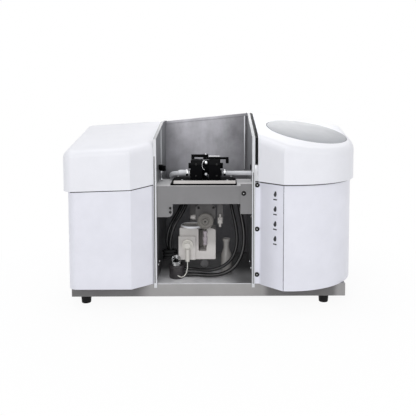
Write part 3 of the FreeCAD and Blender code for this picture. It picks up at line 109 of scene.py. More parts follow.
# a node with its fixed values, and wires to its named inputs
def addNode(tree, kind, fixed=None, **wires):
    node = tree.nodes.new(kind)
    for label, value in (fixed or {}).items():
        node.inputs[label].default_value = value
    for label, wire in wires.items():
        tree.links.new(wire, node.inputs[label.replace("_", " ")])
    return node


def addMath(tree, operation, first, second):
    node = tree.nodes.new("ShaderNodeMath")
    node.operation = operation
    for number, value in enumerate((first, second)):
        if isinstance(value, (int, float)):
            node.inputs[number].default_value = value
        else:
            tree.links.new(value, node.inputs[number])
    return node.outputs[0]


# colours as a screen shows them, 0 to 255
def tint(*levels):
    shares = [level / 255 for level in levels]
    return (*[share / 12.92 if share <= 0.04045 else ((share + 0.055) / 1.055) ** 2.4 for share in shares], 1)


def scaled(colour, share):
    return (colour[0] * share, colour[1] * share, colour[2] * share, 1)


def newMaterial(name):
    material = bpy.data.materials.new(name)
    material.use_nodes = True
    tree = material.node_tree
    where = tree.nodes.new("ShaderNodeTexCoord").outputs["Object"]
    return material, tree, tree.nodes["Principled BSDF"], where


def addNoise(tree, where, scale, detail, rough=0.5, stretch=(1, 1, 1)):
    mapping = addNode(tree, "ShaderNodeMapping", {"Scale": stretch}, Vector=where)
    noise = addNode(tree, "ShaderNodeTexNoise", {"Scale": scale, "Detail": detail, "Roughness": rough},
                    Vector=mapping.outputs["Vector"])
    return noise.outputs["Fac"]


# a colour that runs from darker to lighter by the factor
def addRamp(tree, factor, colour, vary, start, end):
    ramp = addNode(tree, "ShaderNodeValToRGB", Fac=factor)
    low, high = ramp.color_ramp.elements
    low.position, high.position = start, end
    low.color, high.color = scaled(colour, 1 - vary), scaled(colour, 1 + vary)
    return ramp.outputs["Color"]


def addRange(tree, factor, low, high, start=0.25, end=0.75):
    fixed = {"From Min": start, "From Max": end, "To Min": low, "To Max": high}
    return addNode(tree, "ShaderNodeMapRange", fixed, Value=factor)


def addBump(tree, shader, height, strength, distance):
    bump = addNode(tree, "ShaderNodeBump", {"Strength": strength, "Distance": distance}, Height=height)
    tree.links.new(bump.outputs["Normal"], shader.inputs["Normal"])


# paints light or shade into a colour: multiplies it by a share that runs from low to high along one object
# axis
def addPaintedShade(tree, where, colour, axis, start, end, low, high):
    split = addNode(tree, "ShaderNodeSeparateXYZ", Vector=where)
    run = addRange(tree, split.outputs[axis], low, high, start, end)
    run.interpolation_type = "SMOOTHSTEP"
    mix = tree.nodes.new("ShaderNodeMix")
    mix.data_type = "RGBA"
    mix.blend_type = "MULTIPLY"
    mix.inputs["Factor"].default_value = 1
    tree.links.new(colour, mix.inputs[6])
    tree.links.new(run.outputs["Result"], mix.inputs[7])
    return mix.outputs[2]


def addRough(tree, shader, factor, low, high):
    tree.links.new(addRange(tree, factor, low, high).outputs["Result"], shader.inputs["Roughness"])


# finishes: colour, how much it varies, gloss, grain and how deep it is; a row says what isn't usual,
# and each painted shade paints light or shade: an axis, where it starts and ends, and the share of the colour
# there
usualFinish = {"vary": 0.1, "rough": 0.4, "grain": 900, "depth": 0.0001, "shine": 0.4, "metal": 0,
               "stretch": (1, 1, 1), "shades": []}
finishes = {
    "whiteEnamel": {"colour": (233, 233, 241), "vary": 0.03, "rough": 0.34, "grain": 420, "depth": 0.00006},
    # the curved panel's enamel: the white enamel with a painted shadow, a dark band just under the right lip
    "curvedEnamel": {"colour": (233, 233, 241), "vary": 0.03, "rough": 0.34, "grain": 420, "depth": 0.00006,
                     "shades": [(2, 0.3662, 0.3672, 1, 0.06)]},
    # the key panel's enamel with painted light and shade: its front-facing strip lighter, a painted highlight
    # growing towards the right, and a painted shadow band just under the lip
    "panelEnamel": {"colour": (224, 224, 233), "vary": 0.03, "rough": 0.34, "grain": 420, "depth": 0.00006,
                    "shades": [(0, 0.134, 0.139, 1.15, 0.96), (0, 0.150, 0.190, 1, 1.16),
                               (2, 0.366, 0.367, 1, 0.05)]},
    "whiteShell": {"colour": (238, 238, 243), "vary": 0.02, "rough": 0.42, "depth": 0.00012},
    "lidGrey": {"colour": (164, 166, 171), "vary": 0.03, "rough": 0.38, "grain": 800, "depth": 0.00008},
    "greyEnamel": {"colour": (128, 127, 128), "vary": 0.06, "grain": 500, "depth": 0.00008},
    # the pan's enamel with painted shadow from the overhanging covers at its left and right ends, lightened
    # again at the far right
    "panEnamel": {"colour": (163, 161, 160), "vary": 0.06, "rough": 0.45, "grain": 500,
                  "shades": [(0, -0.245, -0.185, 0.45, 1), (0, 0.140, 0.165, 1, 0.44),
                             (0, 0.352, 0.372, 1, 2.1)]},
    "bracketEnamel": {"colour": (92, 90, 90), "vary": 0.14, "rough": 0.45, "grain": 500},
    "blackRubber": {"colour": (4, 4, 5), "vary": 0.3, "rough": 0.62, "grain": 1300, "depth": 0.00015,
                    "shine": 0.2},
    "blackHose": {"colour": (11, 11, 13), "vary": 0.3, "rough": 0.32, "grain": 700, "shine": 0.35},
    "greyHose": {"colour": (26, 25, 26), "vary": 0.15, "rough": 0.3, "grain": 700},
    "whiteHose": {"colour": (228, 229, 233), "vary": 0.05},
    "clearTube": {"colour": (222, 220, 214), "vary": 0.05, "rough": 0.2, "depth": 0.00003},
    "blackPlastic": {"colour": (16, 16, 17), "vary": 0.2, "rough": 0.5, "grain": 1200, "shine": 0.25},
    "glossBlack": {"colour": (20, 20, 21), "vary": 0.2, "rough": 0.15, "depth": 0.00002},
    # cream plastic with painted shade, darker on the spray chamber's upper part
    "creamPlastic": {"colour": (204, 200, 197), "vary": 0.08, "rough": 0.45,
                     "shades": [(2, 0.150, 0.178, 1, 0.76)]},
    "fittingPlastic": {"colour": (166, 158, 163), "vary": 0.12, "depth": 0.00008},
    "nebuliserWhite": {"colour": (203, 200, 194), "vary": 0.06, "depth": 0.00008},
    "wheelGrey": {"colour": (112, 109, 105), "vary": 0.14, "rough": 0.5, "grain": 1200},
    "plugGrey": {"colour": (72, 71, 72), "vary": 0.2, "rough": 0.5, "grain": 1000},
    "potDark": {"colour": (50, 47, 49), "vary": 0.3, "rough": 0.3, "grain": 700},
    "milkyPlastic": {"colour": (158, 155, 152), "vary": 0.12, "rough": 0.3, "grain": 600},
    "rearPaint": {"colour": (206, 206, 210), "vary": 0.04, "rough": 0.5, "grain": 1100, "depth": 0.0002},
    "stripCream": {"colour": (200, 196, 193), "vary": 0.06, "rough": 0.35, "depth": 0.00005},
    "inkDark": {"colour": (52, 52, 56), "vary": 0.15, "rough": 0.5, "grain": 1500, "depth": 0.00002},
    "boardGreen": {"colour": (28, 84, 52), "vary": 0.2, "rough": 0.3, "grain": 300, "depth": 0.00005},
    "blackAnodised": {"colour": (6, 6, 8), "vary": 0.35, "rough": 0.6, "grain": 1500, "depth": 0.00008,
                      "shine": 0.05},
    "blackOxide": {"colour": (6, 6, 6), "vary": 0.3, "rough": 0.38, "grain": 1500, "depth": 0.00008,
                   "shine": 0.3},
    "castAluminium": {"colour": (168, 169, 171), "vary": 0.12, "rough": 0.55, "grain": 600, "depth": 0.0004,
                      "metal": 0.7},
    "machinedAluminium": {"colour": (188, 189, 191), "vary": 0.08, "rough": 0.32, "grain": 200,
                          "depth": 0.00008, "metal": 0.9, "stretch": (1, 1, 30)},
    "brightSteel": {"colour": (205, 206, 208), "vary": 0.08, "rough": 0.18, "grain": 300, "depth": 0.00004,
                    "metal": 1.0},
    # a light steel that paints highlights on the side plates' front faces, the deck's front edge, the back
    # corner fold and the rail guide
    "edgeSteel": {"colour": (214, 215, 218), "vary": 0.08, "rough": 0.3, "grain": 600, "depth": 0.00005,
                  "metal": 0.3, "stretch": (1, 1, 0.1)},
    # light steel for the deck's top, a painted sheen at its front, with painted shade towards its back and
    # right
    "deckSteel": {"colour": (246, 245, 247), "vary": 0.22, "rough": 0.36, "grain": 60, "depth": 0.00008,
                  "shades": [(1, -0.100, 0.010, 1, 0.12), (0, 0.000, 0.090, 1, 0.3)]},
    # a lighter copy of the shelf's grey enamel for its top faces: painted light
    "shelfBright": {"colour": (214, 213, 214), "vary": 0.08, "grain": 400, "depth": 0.00006},
    "brass": {"colour": (206, 172, 104), "vary": 0.12, "rough": 0.26, "grain": 260, "depth": 0.00006,
              "metal": 1.0, "stretch": (1, 20, 1)},
    "graphite": {"colour": (58, 58, 61), "vary": 0.2, "rough": 0.38, "grain": 1500, "metal": 0.3},
    "mirrorFace": {"colour": (236, 238, 240), "vary": 0.02, "rough": 0.03, "grain": 50, "depth": 0.0,
                   "metal": 1.0},
    "tungsten": {"colour": (120, 118, 114), "vary": 0.15, "rough": 0.3, "depth": 0.00004, "metal": 1.0},
}
# clouds of colour and rubbed patches: noise scale, detail and roughness
finishNoise = {"cloud": (14, 5, 0.6), "rub": (45, 4, 0.65), "grainDetail": 2, "bump": 0.6,
               "ramp": (0.3, 0.7), "gloss": (0.85, 1.2)}


def makeFinish(name, options):
    options = {**usualFinish, **options}
    material, tree, shader, where = newMaterial(name)
    stretch, rough = options["stretch"], options["rough"]
    cloud = addNoise(tree, where, *finishNoise["cloud"], stretch)
    base = addRamp(tree, cloud, tint(*options["colour"]), options["vary"], *finishNoise["ramp"])
    for shade in options["shades"]:
        base = addPaintedShade(tree, where, base, *shade)
    tree.links.new(base, shader.inputs["Base Color"])
    low, high = finishNoise["gloss"]
    addRough(tree, shader, addNoise(tree, where, *finishNoise["rub"], stretch), rough * low,
             min(1, rough * high))
    shader.inputs["Metallic"].default_value = options["metal"]
    shader.inputs["Specular IOR Level"].default_value = options["shine"]
    if options["depth"]:
        grain = addNoise(tree, where, options["grain"], finishNoise["grainDetail"], stretch=stretch)
        addBump(tree, shader, grain, finishNoise["bump"], options["depth"])
    return material


materials = {name: makeFinish(name, options) for name, options in finishes.items()}

# bare sheet: broad patches with a brushed streak along the grain
sheetSteel = {
    # the back wall's steel with painted shade: darker towards its right and left corners and in the bay below
    # the shelf
    "wallSteel": {"colour": (188, 187, 193), "vary": 0.46, "streak": 26, "grainWay": (1, 1, 0.3),
                  "streakShare": 0.22, "rough": 0.45, "metal": 0.3, "depth": 0.0001,
                  "shades": [(0, 0.010, 0.105, 1, 0.56), (0, -0.176, -0.130, 0.92, 1),
                             (2, 0.335, 0.372, 0.44, 1)]},
    # the side plates' steel with painted shade, darker low down in the bay
    "plateSteel": {"colour": (150, 151, 154), "vary": 0.14, "streak": 90, "grainWay": (1, 1, 0.06),
                   "streakShare": 0.6, "rough": 0.36, "metal": 0.5, "depth": 0.00008,
                   "shades": [(2, 0.250, 0.300, 0.56, 1)]},
}
sheetNoise = {"patch": (5.5, 6, 0.62), "streakDetail": 3, "streakRough": 0.6, "bump": 0.35,
              "ramp": (0.32, 0.68), "gloss": (0.8, 1.25)}


def makeSheetSteel(name, options):
    material, tree, shader, where = newMaterial(name)
    patch = addNoise(tree, where, *sheetNoise["patch"])
    streak = addNoise(tree, where, options["streak"], sheetNoise["streakDetail"], sheetNoise["streakRough"],
                      options["grainWay"])
    mix = tree.nodes.new("ShaderNodeMix")
    mix.data_type = "FLOAT"
    mix.inputs["Factor"].default_value = options["streakShare"]
    tree.links.new(patch, mix.inputs["A"])
    tree.links.new(streak, mix.inputs["B"])
    base = addRamp(tree, mix.outputs["Result"], tint(*options["colour"]), options["vary"],
                   *sheetNoise["ramp"])
    for shade in options["shades"]:
        base = addPaintedShade(tree, where, base, *shade)
    tree.links.new(base, shader.inputs["Base Color"])
    low, high = sheetNoise["gloss"]
    addRough(tree, shader, patch, options["rough"] * low, options["rough"] * high)
    shader.inputs["Metallic"].default_value = options["metal"]
    addBump(tree, shader, streak, sheetNoise["bump"], options["depth"])
    return material


# glass: colour, gloss and how much it covers
glasses = {"tubeGlass": ((235, 240, 243), 0.03, 0.08), "lensGlass": ((215, 225, 240), 0.02, 0.2)}
smearNoise = (60, 3)
smearSpread = 2.5
glassBend = 1.46


def makeGlass(name, colour, rough, cover):
    material, tree, shader, where = newMaterial(name)
    addRough(tree, shader, addNoise(tree, where, *smearNoise), rough, rough * smearSpread)
    shader.inputs["Base Color"].default_value = tint(*colour)
    shader.inputs["Transmission Weight"].default_value = 1 - cover
    shader.inputs["IOR"].default_value = glassBend
    return material


for name, options in sheetSteel.items():
    materials[name] = makeSheetSteel(name, options)
for name, options in glasses.items():
    materials[name] = makeGlass(name, *options)
print("finishes made", len(materials))

# frame nodes that keep their shape, and their finish; a width in metres rounds their edges
nodeFinishes = {
    "base_pan": ("panEnamel", 0.0008),
    "left_side_plate": ("plateSteel", 0.0004),
    "right_side_plate": ("plateSteel", 0.0004),
    "chamber_back_wall": ("wallSteel", 0.0004),
    "door_seal": ("blackRubber", 0.0012),
    "atomiser_shelf": ("greyEnamel", 0.0007),
    "shelf_end_bracket": ("greyEnamel", 0.0006),
    "left_top_shell": ("whiteShell", 0.0014),
    "left_lower_cover": ("whiteEnamel", 0.0008),
    "right_top_shell": ("whiteShell", 0.0014),
    "right_curved_panel": ("curvedEnamel", 0.0006),
    "right_key_panel": ("panelEnamel", 0.0006),
    "key_1": ("panelEnamel", 0.0004),
    "key_2": ("panelEnamel", 0.0004),
    "key_3": ("panelEnamel", 0.0004),
    "key_4": ("panelEnamel", 0.0004),
    "lamp_lid": ("lidGrey", 0.0012),
    "rear_panel": ("rearPaint", 0.0004),
    "power_inlet": ("blackPlastic", 0.0006),
    "power_rocker": ("glossBlack", 0.0008),
    "gas_inlets": ("brass", 0.0002),
    "fan_frame": ("blackPlastic", 0.0005),
    "fan_rotor": ("blackPlastic", 0.0003),
    "optical_bench": ("castAluminium", 0.0010),
    "collimator_mirrors": ("mirrorFace", 0.0004),
    "grating_table": ("machinedAluminium", 0.0004),
    "photomultiplier": ("blackOxide", 0.0005),
    "beam_barrels": ("blackAnodised", 0.0005),
    "beam_windows": ("lensGlass", 0),
    "flame_sensor": ("brightSteel", 0),
    "power_supply": ("machinedAluminium", 0.0005),
    "main_board": ("boardGreen", 0.0002),
    "gas_control_block": ("machinedAluminium", 0.0008),
    "lamp_bench": ("machinedAluminium", 0.0006),
    "lamp_turret": ("blackAnodised", 0.0004),
    "turret_motor": ("blackOxide", 0.0005),
    "furnace_base_plate": ("blackAnodised", 0.0006),
    "furnace_front_strip": ("stripCream", 0.0007),
    "furnace_block_left": ("blackAnodised", 0.0006),
    "furnace_block_right": ("blackAnodised", 0.0006),
    "graphite_tube": ("graphite", 0.0002),
    "lever_post": ("brightSteel", 0.0003),
    "clamp_lever_left": ("blackAnodised", 0.0004),
    "clamp_lever_right": ("blackAnodised", 0.0004),
    "lift_bracket": ("bracketEnamel", 0.0005),
    "spray_chamber": ("creamPlastic", 0.0009),
    "nebuliser": ("nebuliserWhite", 0.0005),
    "gas_fittings": ("creamPlastic", 0.0003),
    "spray_chamber_plug": ("plugGrey", 0.0006),
    "drain_trap": ("potDark", 0.0006),
    "drain_vessel": ("milkyPlastic", 0.0006),
}


def linkPiece(name, mesh, finish, body, replaced=()):
    piece = linkObject(name, mesh)
    if finish:
        mesh.materials.clear()
        mesh.materials.append(materials[finish])
    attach(piece, body)
    if replaced:
        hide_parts(*replaced)


def bakeModifiers(piece):
    graph = bpy.context.evaluated_depsgraph_get()
    mesh = bpy.data.meshes.new_from_object(piece.evaluated_get(graph))
    bpy.data.objects.remove(piece)
    return mesh


# faces that look along an axis and take a finish of their own: axis, sign, finish
turnedFaces = {
    # the side plates' front faces take the light steel as a painted highlight
    "left_side_plate": (1, -1, "edgeSteel"),
    "right_side_plate": (1, -1, "edgeSteel"),
    # the pan's top takes the deck steel with its painted sheen and shade
    "base_pan": (2, 1, "deckSteel"),
    # the shelf's top takes the lighter enamel as painted light
    "atomiser_shelf": (2, 1, "shelfBright"),
}
skinSettings = {
    "merge": 0.00001,
    "flat": math.radians(0.4),     # facets that lie flatter than this become one
    "crease": math.radians(32),    # sharper edges are softened and stay edges in the shading
    "facing": 0.7,                 # how squarely a face has to look along the axis
}


def paintFaces(mesh, axis, sign, finish):
    mesh.materials.append(materials[finish])
    for face in mesh.polygons:
        if face.normal[axis] * sign > skinSettings["facing"]:
            face.material_index = 1


def smoothShade(mesh):
    mesh.polygons.foreach_set("use_smooth", [True] * len(mesh.polygons))
    mesh.set_sharp_from_angle(angle=skinSettings["crease"])


def dressNode(node, finish, width):
    source = frame["nodes"][node]
    shape = bmesh.new()
    shape.from_mesh(source.data)
    bmesh.ops.remove_doubles(shape, verts=shape.verts, dist=skinSettings["merge"])
    bmesh.ops.dissolve_limit(shape, angle_limit=skinSettings["flat"], verts=shape.verts, edges=shape.edges)
    mesh = bpy.data.meshes.new(node + "Skin")
    shape.to_mesh(mesh)
    shape.free()
    if "custom_normal" in mesh.attributes:
        mesh.attributes.remove(mesh.attributes["custom_normal"])
    smoothShade(mesh)
    if width:
        rough = linkObject(node + "Rough", mesh)
        bevel = rough.modifiers.new("softEdge", "BEVEL")
        bevel.width = width
        bevel.segments = 2
        bevel.limit_method = "ANGLE"
        bevel.angle_limit = skinSettings["crease"]
        bevel.harden_normals = True
        mesh = bakeModifiers(rough)
        mesh.name = node + "Skin"
    linkPiece(node + "Skin", mesh, finish, source["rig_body"], [node])
    if node in turnedFaces:
        paintFaces(mesh, *turnedFaces[node])


for node, (finish, width) in nodeFinishes.items():
    dressNode(node, finish, width)
print("frame nodes dressed", len(nodeFinishes))


# stock shapes: turned from a profile, a rounded block, a plate, a bent wire
def turnShape(name, profile, segments):
    shape = bmesh.new()
    rings = []
    for radius, height in profile:
        count = segments if radius > 0 else 1
        rings.append([shape.verts.new((radius * math.cos(step * math.tau / segments),
                                       radius * math.sin(step * math.tau / segments), height))
                      for step in range(count)])
    closed = profile[0][0] > 0 and profile[-1][0] > 0
    pairs = list(zip(rings, rings[1:])) + ([(rings[-1], rings[0])] if closed else [])
    for low, high in pairs:
        for step in range(segments):
            after = (step + 1) % segments
            corners = [low[step % len(low)], low[after % len(low)], high[after % len(high)],
                       high[step % len(high)]]
            corners = list(dict.fromkeys(corners))
            if len(corners) > 2:
                shape.faces.new(corners)
    bmesh.ops.recalc_face_normals(shape, faces=shape.faces)
    return shapeMesh(name, shape)


def blockShape(name, size, soft):
    shape = bmesh.new()
    bmesh.ops.create_cube(shape, size=1)
    bmesh.ops.scale(shape, vec=size, verts=shape.verts)
    bmesh.ops.bevel(shape, geom=shape.edges[:], offset=soft, segments=2, affect="EDGES", profile=0.5)
    return shapeMesh(name, shape)


# a flat outline in X and Z, with a thickness along Y
def plateShape(name, outline, thick):
    shape = bmesh.new()
    face = shape.faces.new([shape.verts.new((x, 0, z)) for x, z in outline])
    raised = bmesh.ops.extrude_face_region(shape, geom=[face])
    moved = [item for item in raised["geom"] if isinstance(item, bmesh.types.BMVert)]
    bmesh.ops.translate(shape, vec=(0, -thick, 0), verts=moved)
    bmesh.ops.recalc_face_normals(shape, faces=shape.faces)
    return shapeMesh(name, shape)


def shapeMesh(name, shape):
    mesh = bpy.data.meshes.new(name)
    shape.to_mesh(mesh)
    shape.free()
    smoothShade(mesh)
    return mesh


# a round bar along a smooth line through the points
def routeCurve(name, points, radius):
    data = bpy.data.curves.new(name, "CURVE")
    data.dimensions = "3D"
    data.resolution_u = 10
    data.bevel_depth = radius
    data.bevel_resolution = 5
    data.use_fill_caps = True
    spline = data.splines.new("NURBS")
    spline.points.add(len(points) - 1)
    for knot, point in zip(spline.points, points):
        knot.co = (*point, 1)
    spline.order_u = 3
    spline.use_endpoint_u = True
    return data


def routeMesh(name, data):
    mesh = bakeModifiers(linkObject(name + "Line", data))
    mesh.materials.clear()
    mesh.name = name
    return mesh


# what the Z axis of a stock shape turns to
axisTurns = {
    "Z": Matrix(),
    "X": Matrix.Rotation(math.radians(90), 4, "Y"),
    "-X": Matrix.Rotation(math.radians(-90), 4, "Y"),
    "Y": Matrix.Rotation(math.radians(-90), 4, "X"),
    "-Y": Matrix.Rotation(math.radians(90), 4, "X"),
}


def placed(mesh, place, axis="Z"):
    mesh.transform(Matrix.Translation(place) @ axisTurns[axis])
    return mesh


def addTurned(name, part, segments, body, node, replaced=()):
    mesh = placed(turnShape(name, part["profile"], segments), part["place"], part.get("axis", "Z"))
    linkPiece(name, mesh, part["finish"], body, replaced)


def addBlock(name, size, soft, place, finish, body, replaced=()):
    linkPiece(name, placed(blockShape(name, size, soft), place), finish, body, replaced)


# geometry node trees for what repeats
def startTree(name, sizes):
    tree = bpy.data.node_groups.new(name, "GeometryNodeTree")
    tree.interface.new_socket("Points", in_out="INPUT", socket_type="NodeSocketGeometry")
    for label, value in sizes.items():
        kind = "Float"
        if isinstance(value, bpy.types.Object):
            kind = "Object"
        elif isinstance(value, int):
            kind = "Int"
        tree.interface.new_socket(label, in_out="INPUT", socket_type="NodeSocket" + kind)
    tree.interface.new_socket("Geometry", in_out="OUTPUT", socket_type="NodeSocketGeometry")
    return tree, tree.nodes.new("NodeGroupInput")


def endTree(tree, geometry, finish):
    whole = addNode(tree, "GeometryNodeRealizeInstances", Geometry=geometry)
    painted = addNode(tree, "GeometryNodeSetMaterial", {"Material": materials[finish]},
                      Geometry=whole.outputs[0])
    out = tree.nodes.new("NodeGroupOutput")
    tree.links.new(painted.outputs[0], out.inputs[0])


def growMesh(name, tree, sizes, points=((0, 0, 0),)):
    seeds = bpy.data.meshes.new(name + "Seeds")
    seeds.from_pydata([tuple(point) for point in points], [], [])
    holder = linkObject(name + "Seeds", seeds)
    grow = holder.modifiers.new("grow", "NODES")
    grow.node_group = tree
    for item in tree.interface.items_tree:
        if item.in_out == "INPUT" and item.name in sizes:
            grow[item.identifier] = sizes[item.name]
    mesh = bakeModifiers(holder)
    mesh.name = name
    if "Stock" in sizes:
        bpy.data.objects.remove(sizes["Stock"])
    return mesh


# one copy of the stock on every point, its axis tipped about X
def scatterMesh(name, stockMesh, finish, points, tip=0.0):
    sizes = {"Stock": linkObject(stockMesh.name, stockMesh), "Tip": float(tip)}
    tree, start = startTree(name + "Tree", sizes)
    stock = addNode(tree, "GeometryNodeObjectInfo", Object=start.outputs["Stock"])
    turn = addNode(tree, "ShaderNodeCombineXYZ", X=start.outputs["Tip"])
    spread = addNode(tree, "GeometryNodeInstanceOnPoints", Points=start.outputs["Points"],
                     Instance=stock.outputs["Geometry"], Rotation=turn.outputs[0])
    endTree(tree, spread.outputs[0], finish)
    return growMesh(name, tree, sizes, points)


# copies round a circle in X and Y, each turned with its own angle
def ringMesh(name, stockMesh, finish, count, radius):
    sizes = {"Stock": linkObject(stockMesh.name, stockMesh), "Count": count, "Radius": float(radius)}
    tree, start = startTree(name + "Tree", sizes)
    stock = addNode(tree, "GeometryNodeObjectInfo", Object=start.outputs["Stock"])
    circle = addNode(tree, "GeometryNodeMeshCircle", Vertices=start.outputs["Count"],
                     Radius=start.outputs["Radius"])
    number = tree.nodes.new("GeometryNodeInputIndex").outputs[0]
    step = addMath(tree, "DIVIDE", math.tau, start.outputs["Count"])
    turn = addNode(tree, "ShaderNodeCombineXYZ", Z=addMath(tree, "MULTIPLY", number, step))
    spread = addNode(tree, "GeometryNodeInstanceOnPoints", Points=circle.outputs[0],
                     Instance=stock.outputs["Geometry"], Rotation=turn.outputs[0])
    endTree(tree, spread.outputs[0], finish)
    return growMesh(name, tree, sizes)


# how many steps go round a wire, and round what it is bent to
wireSteps = {"coil": 10, "coilTurn": 28, "guard": 8, "guardRing": 56}


# a tube of the wire's size along the curves, then the end of the tree
def endWire(tree, start, curves, roundness, finish):
    section = addNode(tree, "GeometryNodeCurvePrimitiveCircle", {"Resolution": roundness},
                      Radius=start.outputs["Wire"])
    tube = addNode(tree, "GeometryNodeCurveToMesh", {"Fill Caps": True}, Curve=curves,
                   Profile_Curve=section.outputs[0])
    endTree(tree, tube.outputs[0], finish)


# a wire wound round the Z axis
def coilMesh(name, finish, turns, radius, height, wire):
    sizes = {"Turns": float(turns), "Radius": float(radius), "Height": float(height), "Wire": float(wire)}
    tree, start = startTree(name + "Tree", sizes)
    wide = start.outputs["Radius"]
    spiral = addNode(tree, "GeometryNodeCurveSpiral", {"Resolution": wireSteps["coilTurn"]},
                     Rotations=start.outputs["Turns"], Start_Radius=wide, End_Radius=wide,
                     Height=start.outputs["Height"])
    endWire(tree, start, spiral.outputs[0], wireSteps["coil"], finish)
    return growMesh(name, tree, sizes)


# wire circles about the Z axis, each a gap wider than the last
def guardMesh(name, finish, rings, gap, wire):
    sizes = {"Rings": rings, "Gap": float(gap), "Wire": float(wire)}
    tree, start = startTree(name + "Tree", sizes)
    line = addNode(tree, "GeometryNodeMeshLine", {"Offset": (0, 0, 0)}, Count=start.outputs["Rings"])
    number = tree.nodes.new("GeometryNodeInputIndex").outputs[0]
    wide = addMath(tree, "MULTIPLY", addMath(tree, "ADD", number, 1), start.outputs["Gap"])
    size = addNode(tree, "ShaderNodeCombineXYZ", {"Z": 1}, X=wide, Y=wide)
    circle = addNode(tree, "GeometryNodeCurvePrimitiveCircle",
                     {"Radius": 1, "Resolution": wireSteps["guardRing"]})
    spread = addNode(tree, "GeometryNodeInstanceOnPoints", Points=line.outputs[0],
                     Instance=circle.outputs[0], Scale=size.outputs[0])
    whole = addNode(tree, "GeometryNodeRealizeInstances", Geometry=spread.outputs[0])
    endWire(tree, start, whole.outputs[0], wireSteps["guard"], finish)
    return growMesh(name, tree, sizes)


# turned heads on their places, looking along an axis
def addHeads(name, profile, segments, places, axis, finish, body, replaced=()):
    stock = placed(turnShape(name + "Stock", profile, segments), (0, 0, 0), axis)
    linkPiece(name, scatterMesh(name, stock, finish, places), None, body, replaced)


# small blocks round a ring, as on a knurled rim, pushed along its axis by the shift
def addRibs(name, ribs, place, axis, finish, body, node, replaced=()):
    stock = blockShape(name + "Stock", ribs["size"], ribs["soft"])
    mesh = ringMesh(name, stock, finish, ribs["count"], ribs["radius"])
    mesh.transform(Matrix.Translation((0, 0, ribs["shift"])))
    linkPiece(name, placed(mesh, place, axis), None, body, replaced)


# panel screws: a black domed head round a bright socket
screwSettings = {
    "places": [(0.1258, -0.1655, 0.359), (0.1258, -0.1655, 0.227), (0.1258, -0.1655, 0.089),
               (0.086, -0.164, 0.334)],
    "segments": 28,
    "head": [(0.0018, 0.0008), (0.0026, 0.0031), (0.0048, 0.0027), (0.0066, 0.0016), (0.0072, 0.0004),
             (0.0072, -0.0004), (0.0018, -0.0004)],
    "middle": [(0, -0.0004), (0.0019, -0.0004), (0.0019, 0.0022), (0.0014, 0.0031), (0.0006, 0.0035),
               (0, 0.0036)],
}


def makeScrews(options):
    for name, profile, finish in (("panelScrewHeads", options["head"], "blackOxide"),
                                  ("panelScrewMiddles", options["middle"], "brightSteel")):
        addHeads(name, profile, options["segments"], options["places"], "-Y", finish, "housing",
                 ["panel_screws"])


makeScrews(screwSettings)
print("screws set")

# key marks: a drop over a short bar, raised a hair above each key
keySettings = {
    "face": (0.1741, -0.2129),       # X and Y of the middle of the keys
    "along": (0.7024, -0.7118),      # the way their panel runs
    "heights": [0.329, 0.2855, 0.242, 0.1985],
    "thick": 0.0003,
    "bar": (0.0066, 0.0018),     # half width, half height
    "barDrop": 0.0052,
    "dropRise": 0.0092,
    "dropSize": 0.0066,
    "dropSteps": 20,
    "dropWide": 0.8,             # share of the height
    "dropTip": (0.55, 6),        # how far the tip is drawn out, and how pointed it is
    "dropLean": 0.25,
}


def dropOutline(options, lift):
    size, steps = options["dropSize"], options["dropSteps"]
    drawn, pointed = options["dropTip"]
    points = []
    for step in range(steps):
        angle = math.tau * step / steps
        rise = max(0, math.sin(angle))
        reach = size * (1 + drawn * rise ** pointed)
        points.append((reach * options["dropWide"] * math.cos(angle) + options["dropLean"] * rise * size,
                       lift + reach * math.sin(angle)))
    return points


def makeKeyMarks(options):
    alongX, alongY = options["along"]
    turn = Matrix(((alongX, -alongY, 0, 0), (alongY, alongX, 0, 0), (0, 0, 1, 0), (0, 0, 0, 1)))
    wide, tall = options["bar"]
    for number, height in enumerate(options["heights"]):
        lift = height - options["barDrop"]
        bar = [(-wide, lift - tall), (wide, lift - tall), (wide, lift + tall), (-wide, lift + tall)]
        drop = dropOutline(options, height + options["dropRise"])
        for label, outline in (("Bar", bar), ("Drop", drop)):
            name = "keyMark%d%s" % (number + 1, label)
            mesh = plateShape(name, outline, options["thick"])
            mesh.transform(Matrix.Translation((*options["face"], 0)) @ turn)
            linkPiece(name, mesh, "inkDark", "key_" + "abcd"[number])


makeKeyMarks(keySettings)
print("key marks laid")

# handwheel: turned face with grooves, ribbed rim and dark hub screw
wheelSettings = {
    "place": (-0.029, -0.132, 0.243),
    "segments": 72,
    "profile": [(0, 0.044), (0.005, 0.044), (0.005, 0.0138), (0.0222, 0.0138), (0.0236, 0.0124),
                (0.0236, 0.0022), (0.0222, 0.0008), (0.0206, 0.0004), (0.0196, 0.0022), (0.0150, 0.0026),
                (0.0142, 0.0010), (0.0122, 0.0006), (0.0112, 0.0022), (0.0094, 0.0022), (0.0088, 0.0),
                (0.0080, -0.0030), (0.0066, -0.0038), (0.0046, -0.0038), (0.0042, -0.0028), (0, -0.0028)],
    "ribs": {"size": (0.0022, 0.0018, 0.0112), "soft": 0.0005, "count": 36, "radius": 0.0237,
             "shift": 0.0073},
    "hub": [(0, -0.0030), (0.0030, -0.0030), (0.0028, -0.0037), (0.0016, -0.0040), (0, -0.0040)],
    "hubSegments": 32,
}


def makeWheel(options):
    spot, home = options["place"], ("lift_wheel", "handwheel", ["handwheel"])
    face = {"profile": options["profile"], "place": spot, "axis": "Y", "finish": "wheelGrey"}
    addTurned("handwheelFace", face, options["segments"], *home)
    addRibs("handwheelRibs", options["ribs"], spot, "Y", "wheelGrey", *home)
    hub = {"profile": options["hub"], "place": spot, "axis": "Y", "finish": "greyHose"}
    addTurned("handwheelHub", hub, options["hubSegments"], *home)


makeWheel(wheelSettings)
print("handwheel turned")

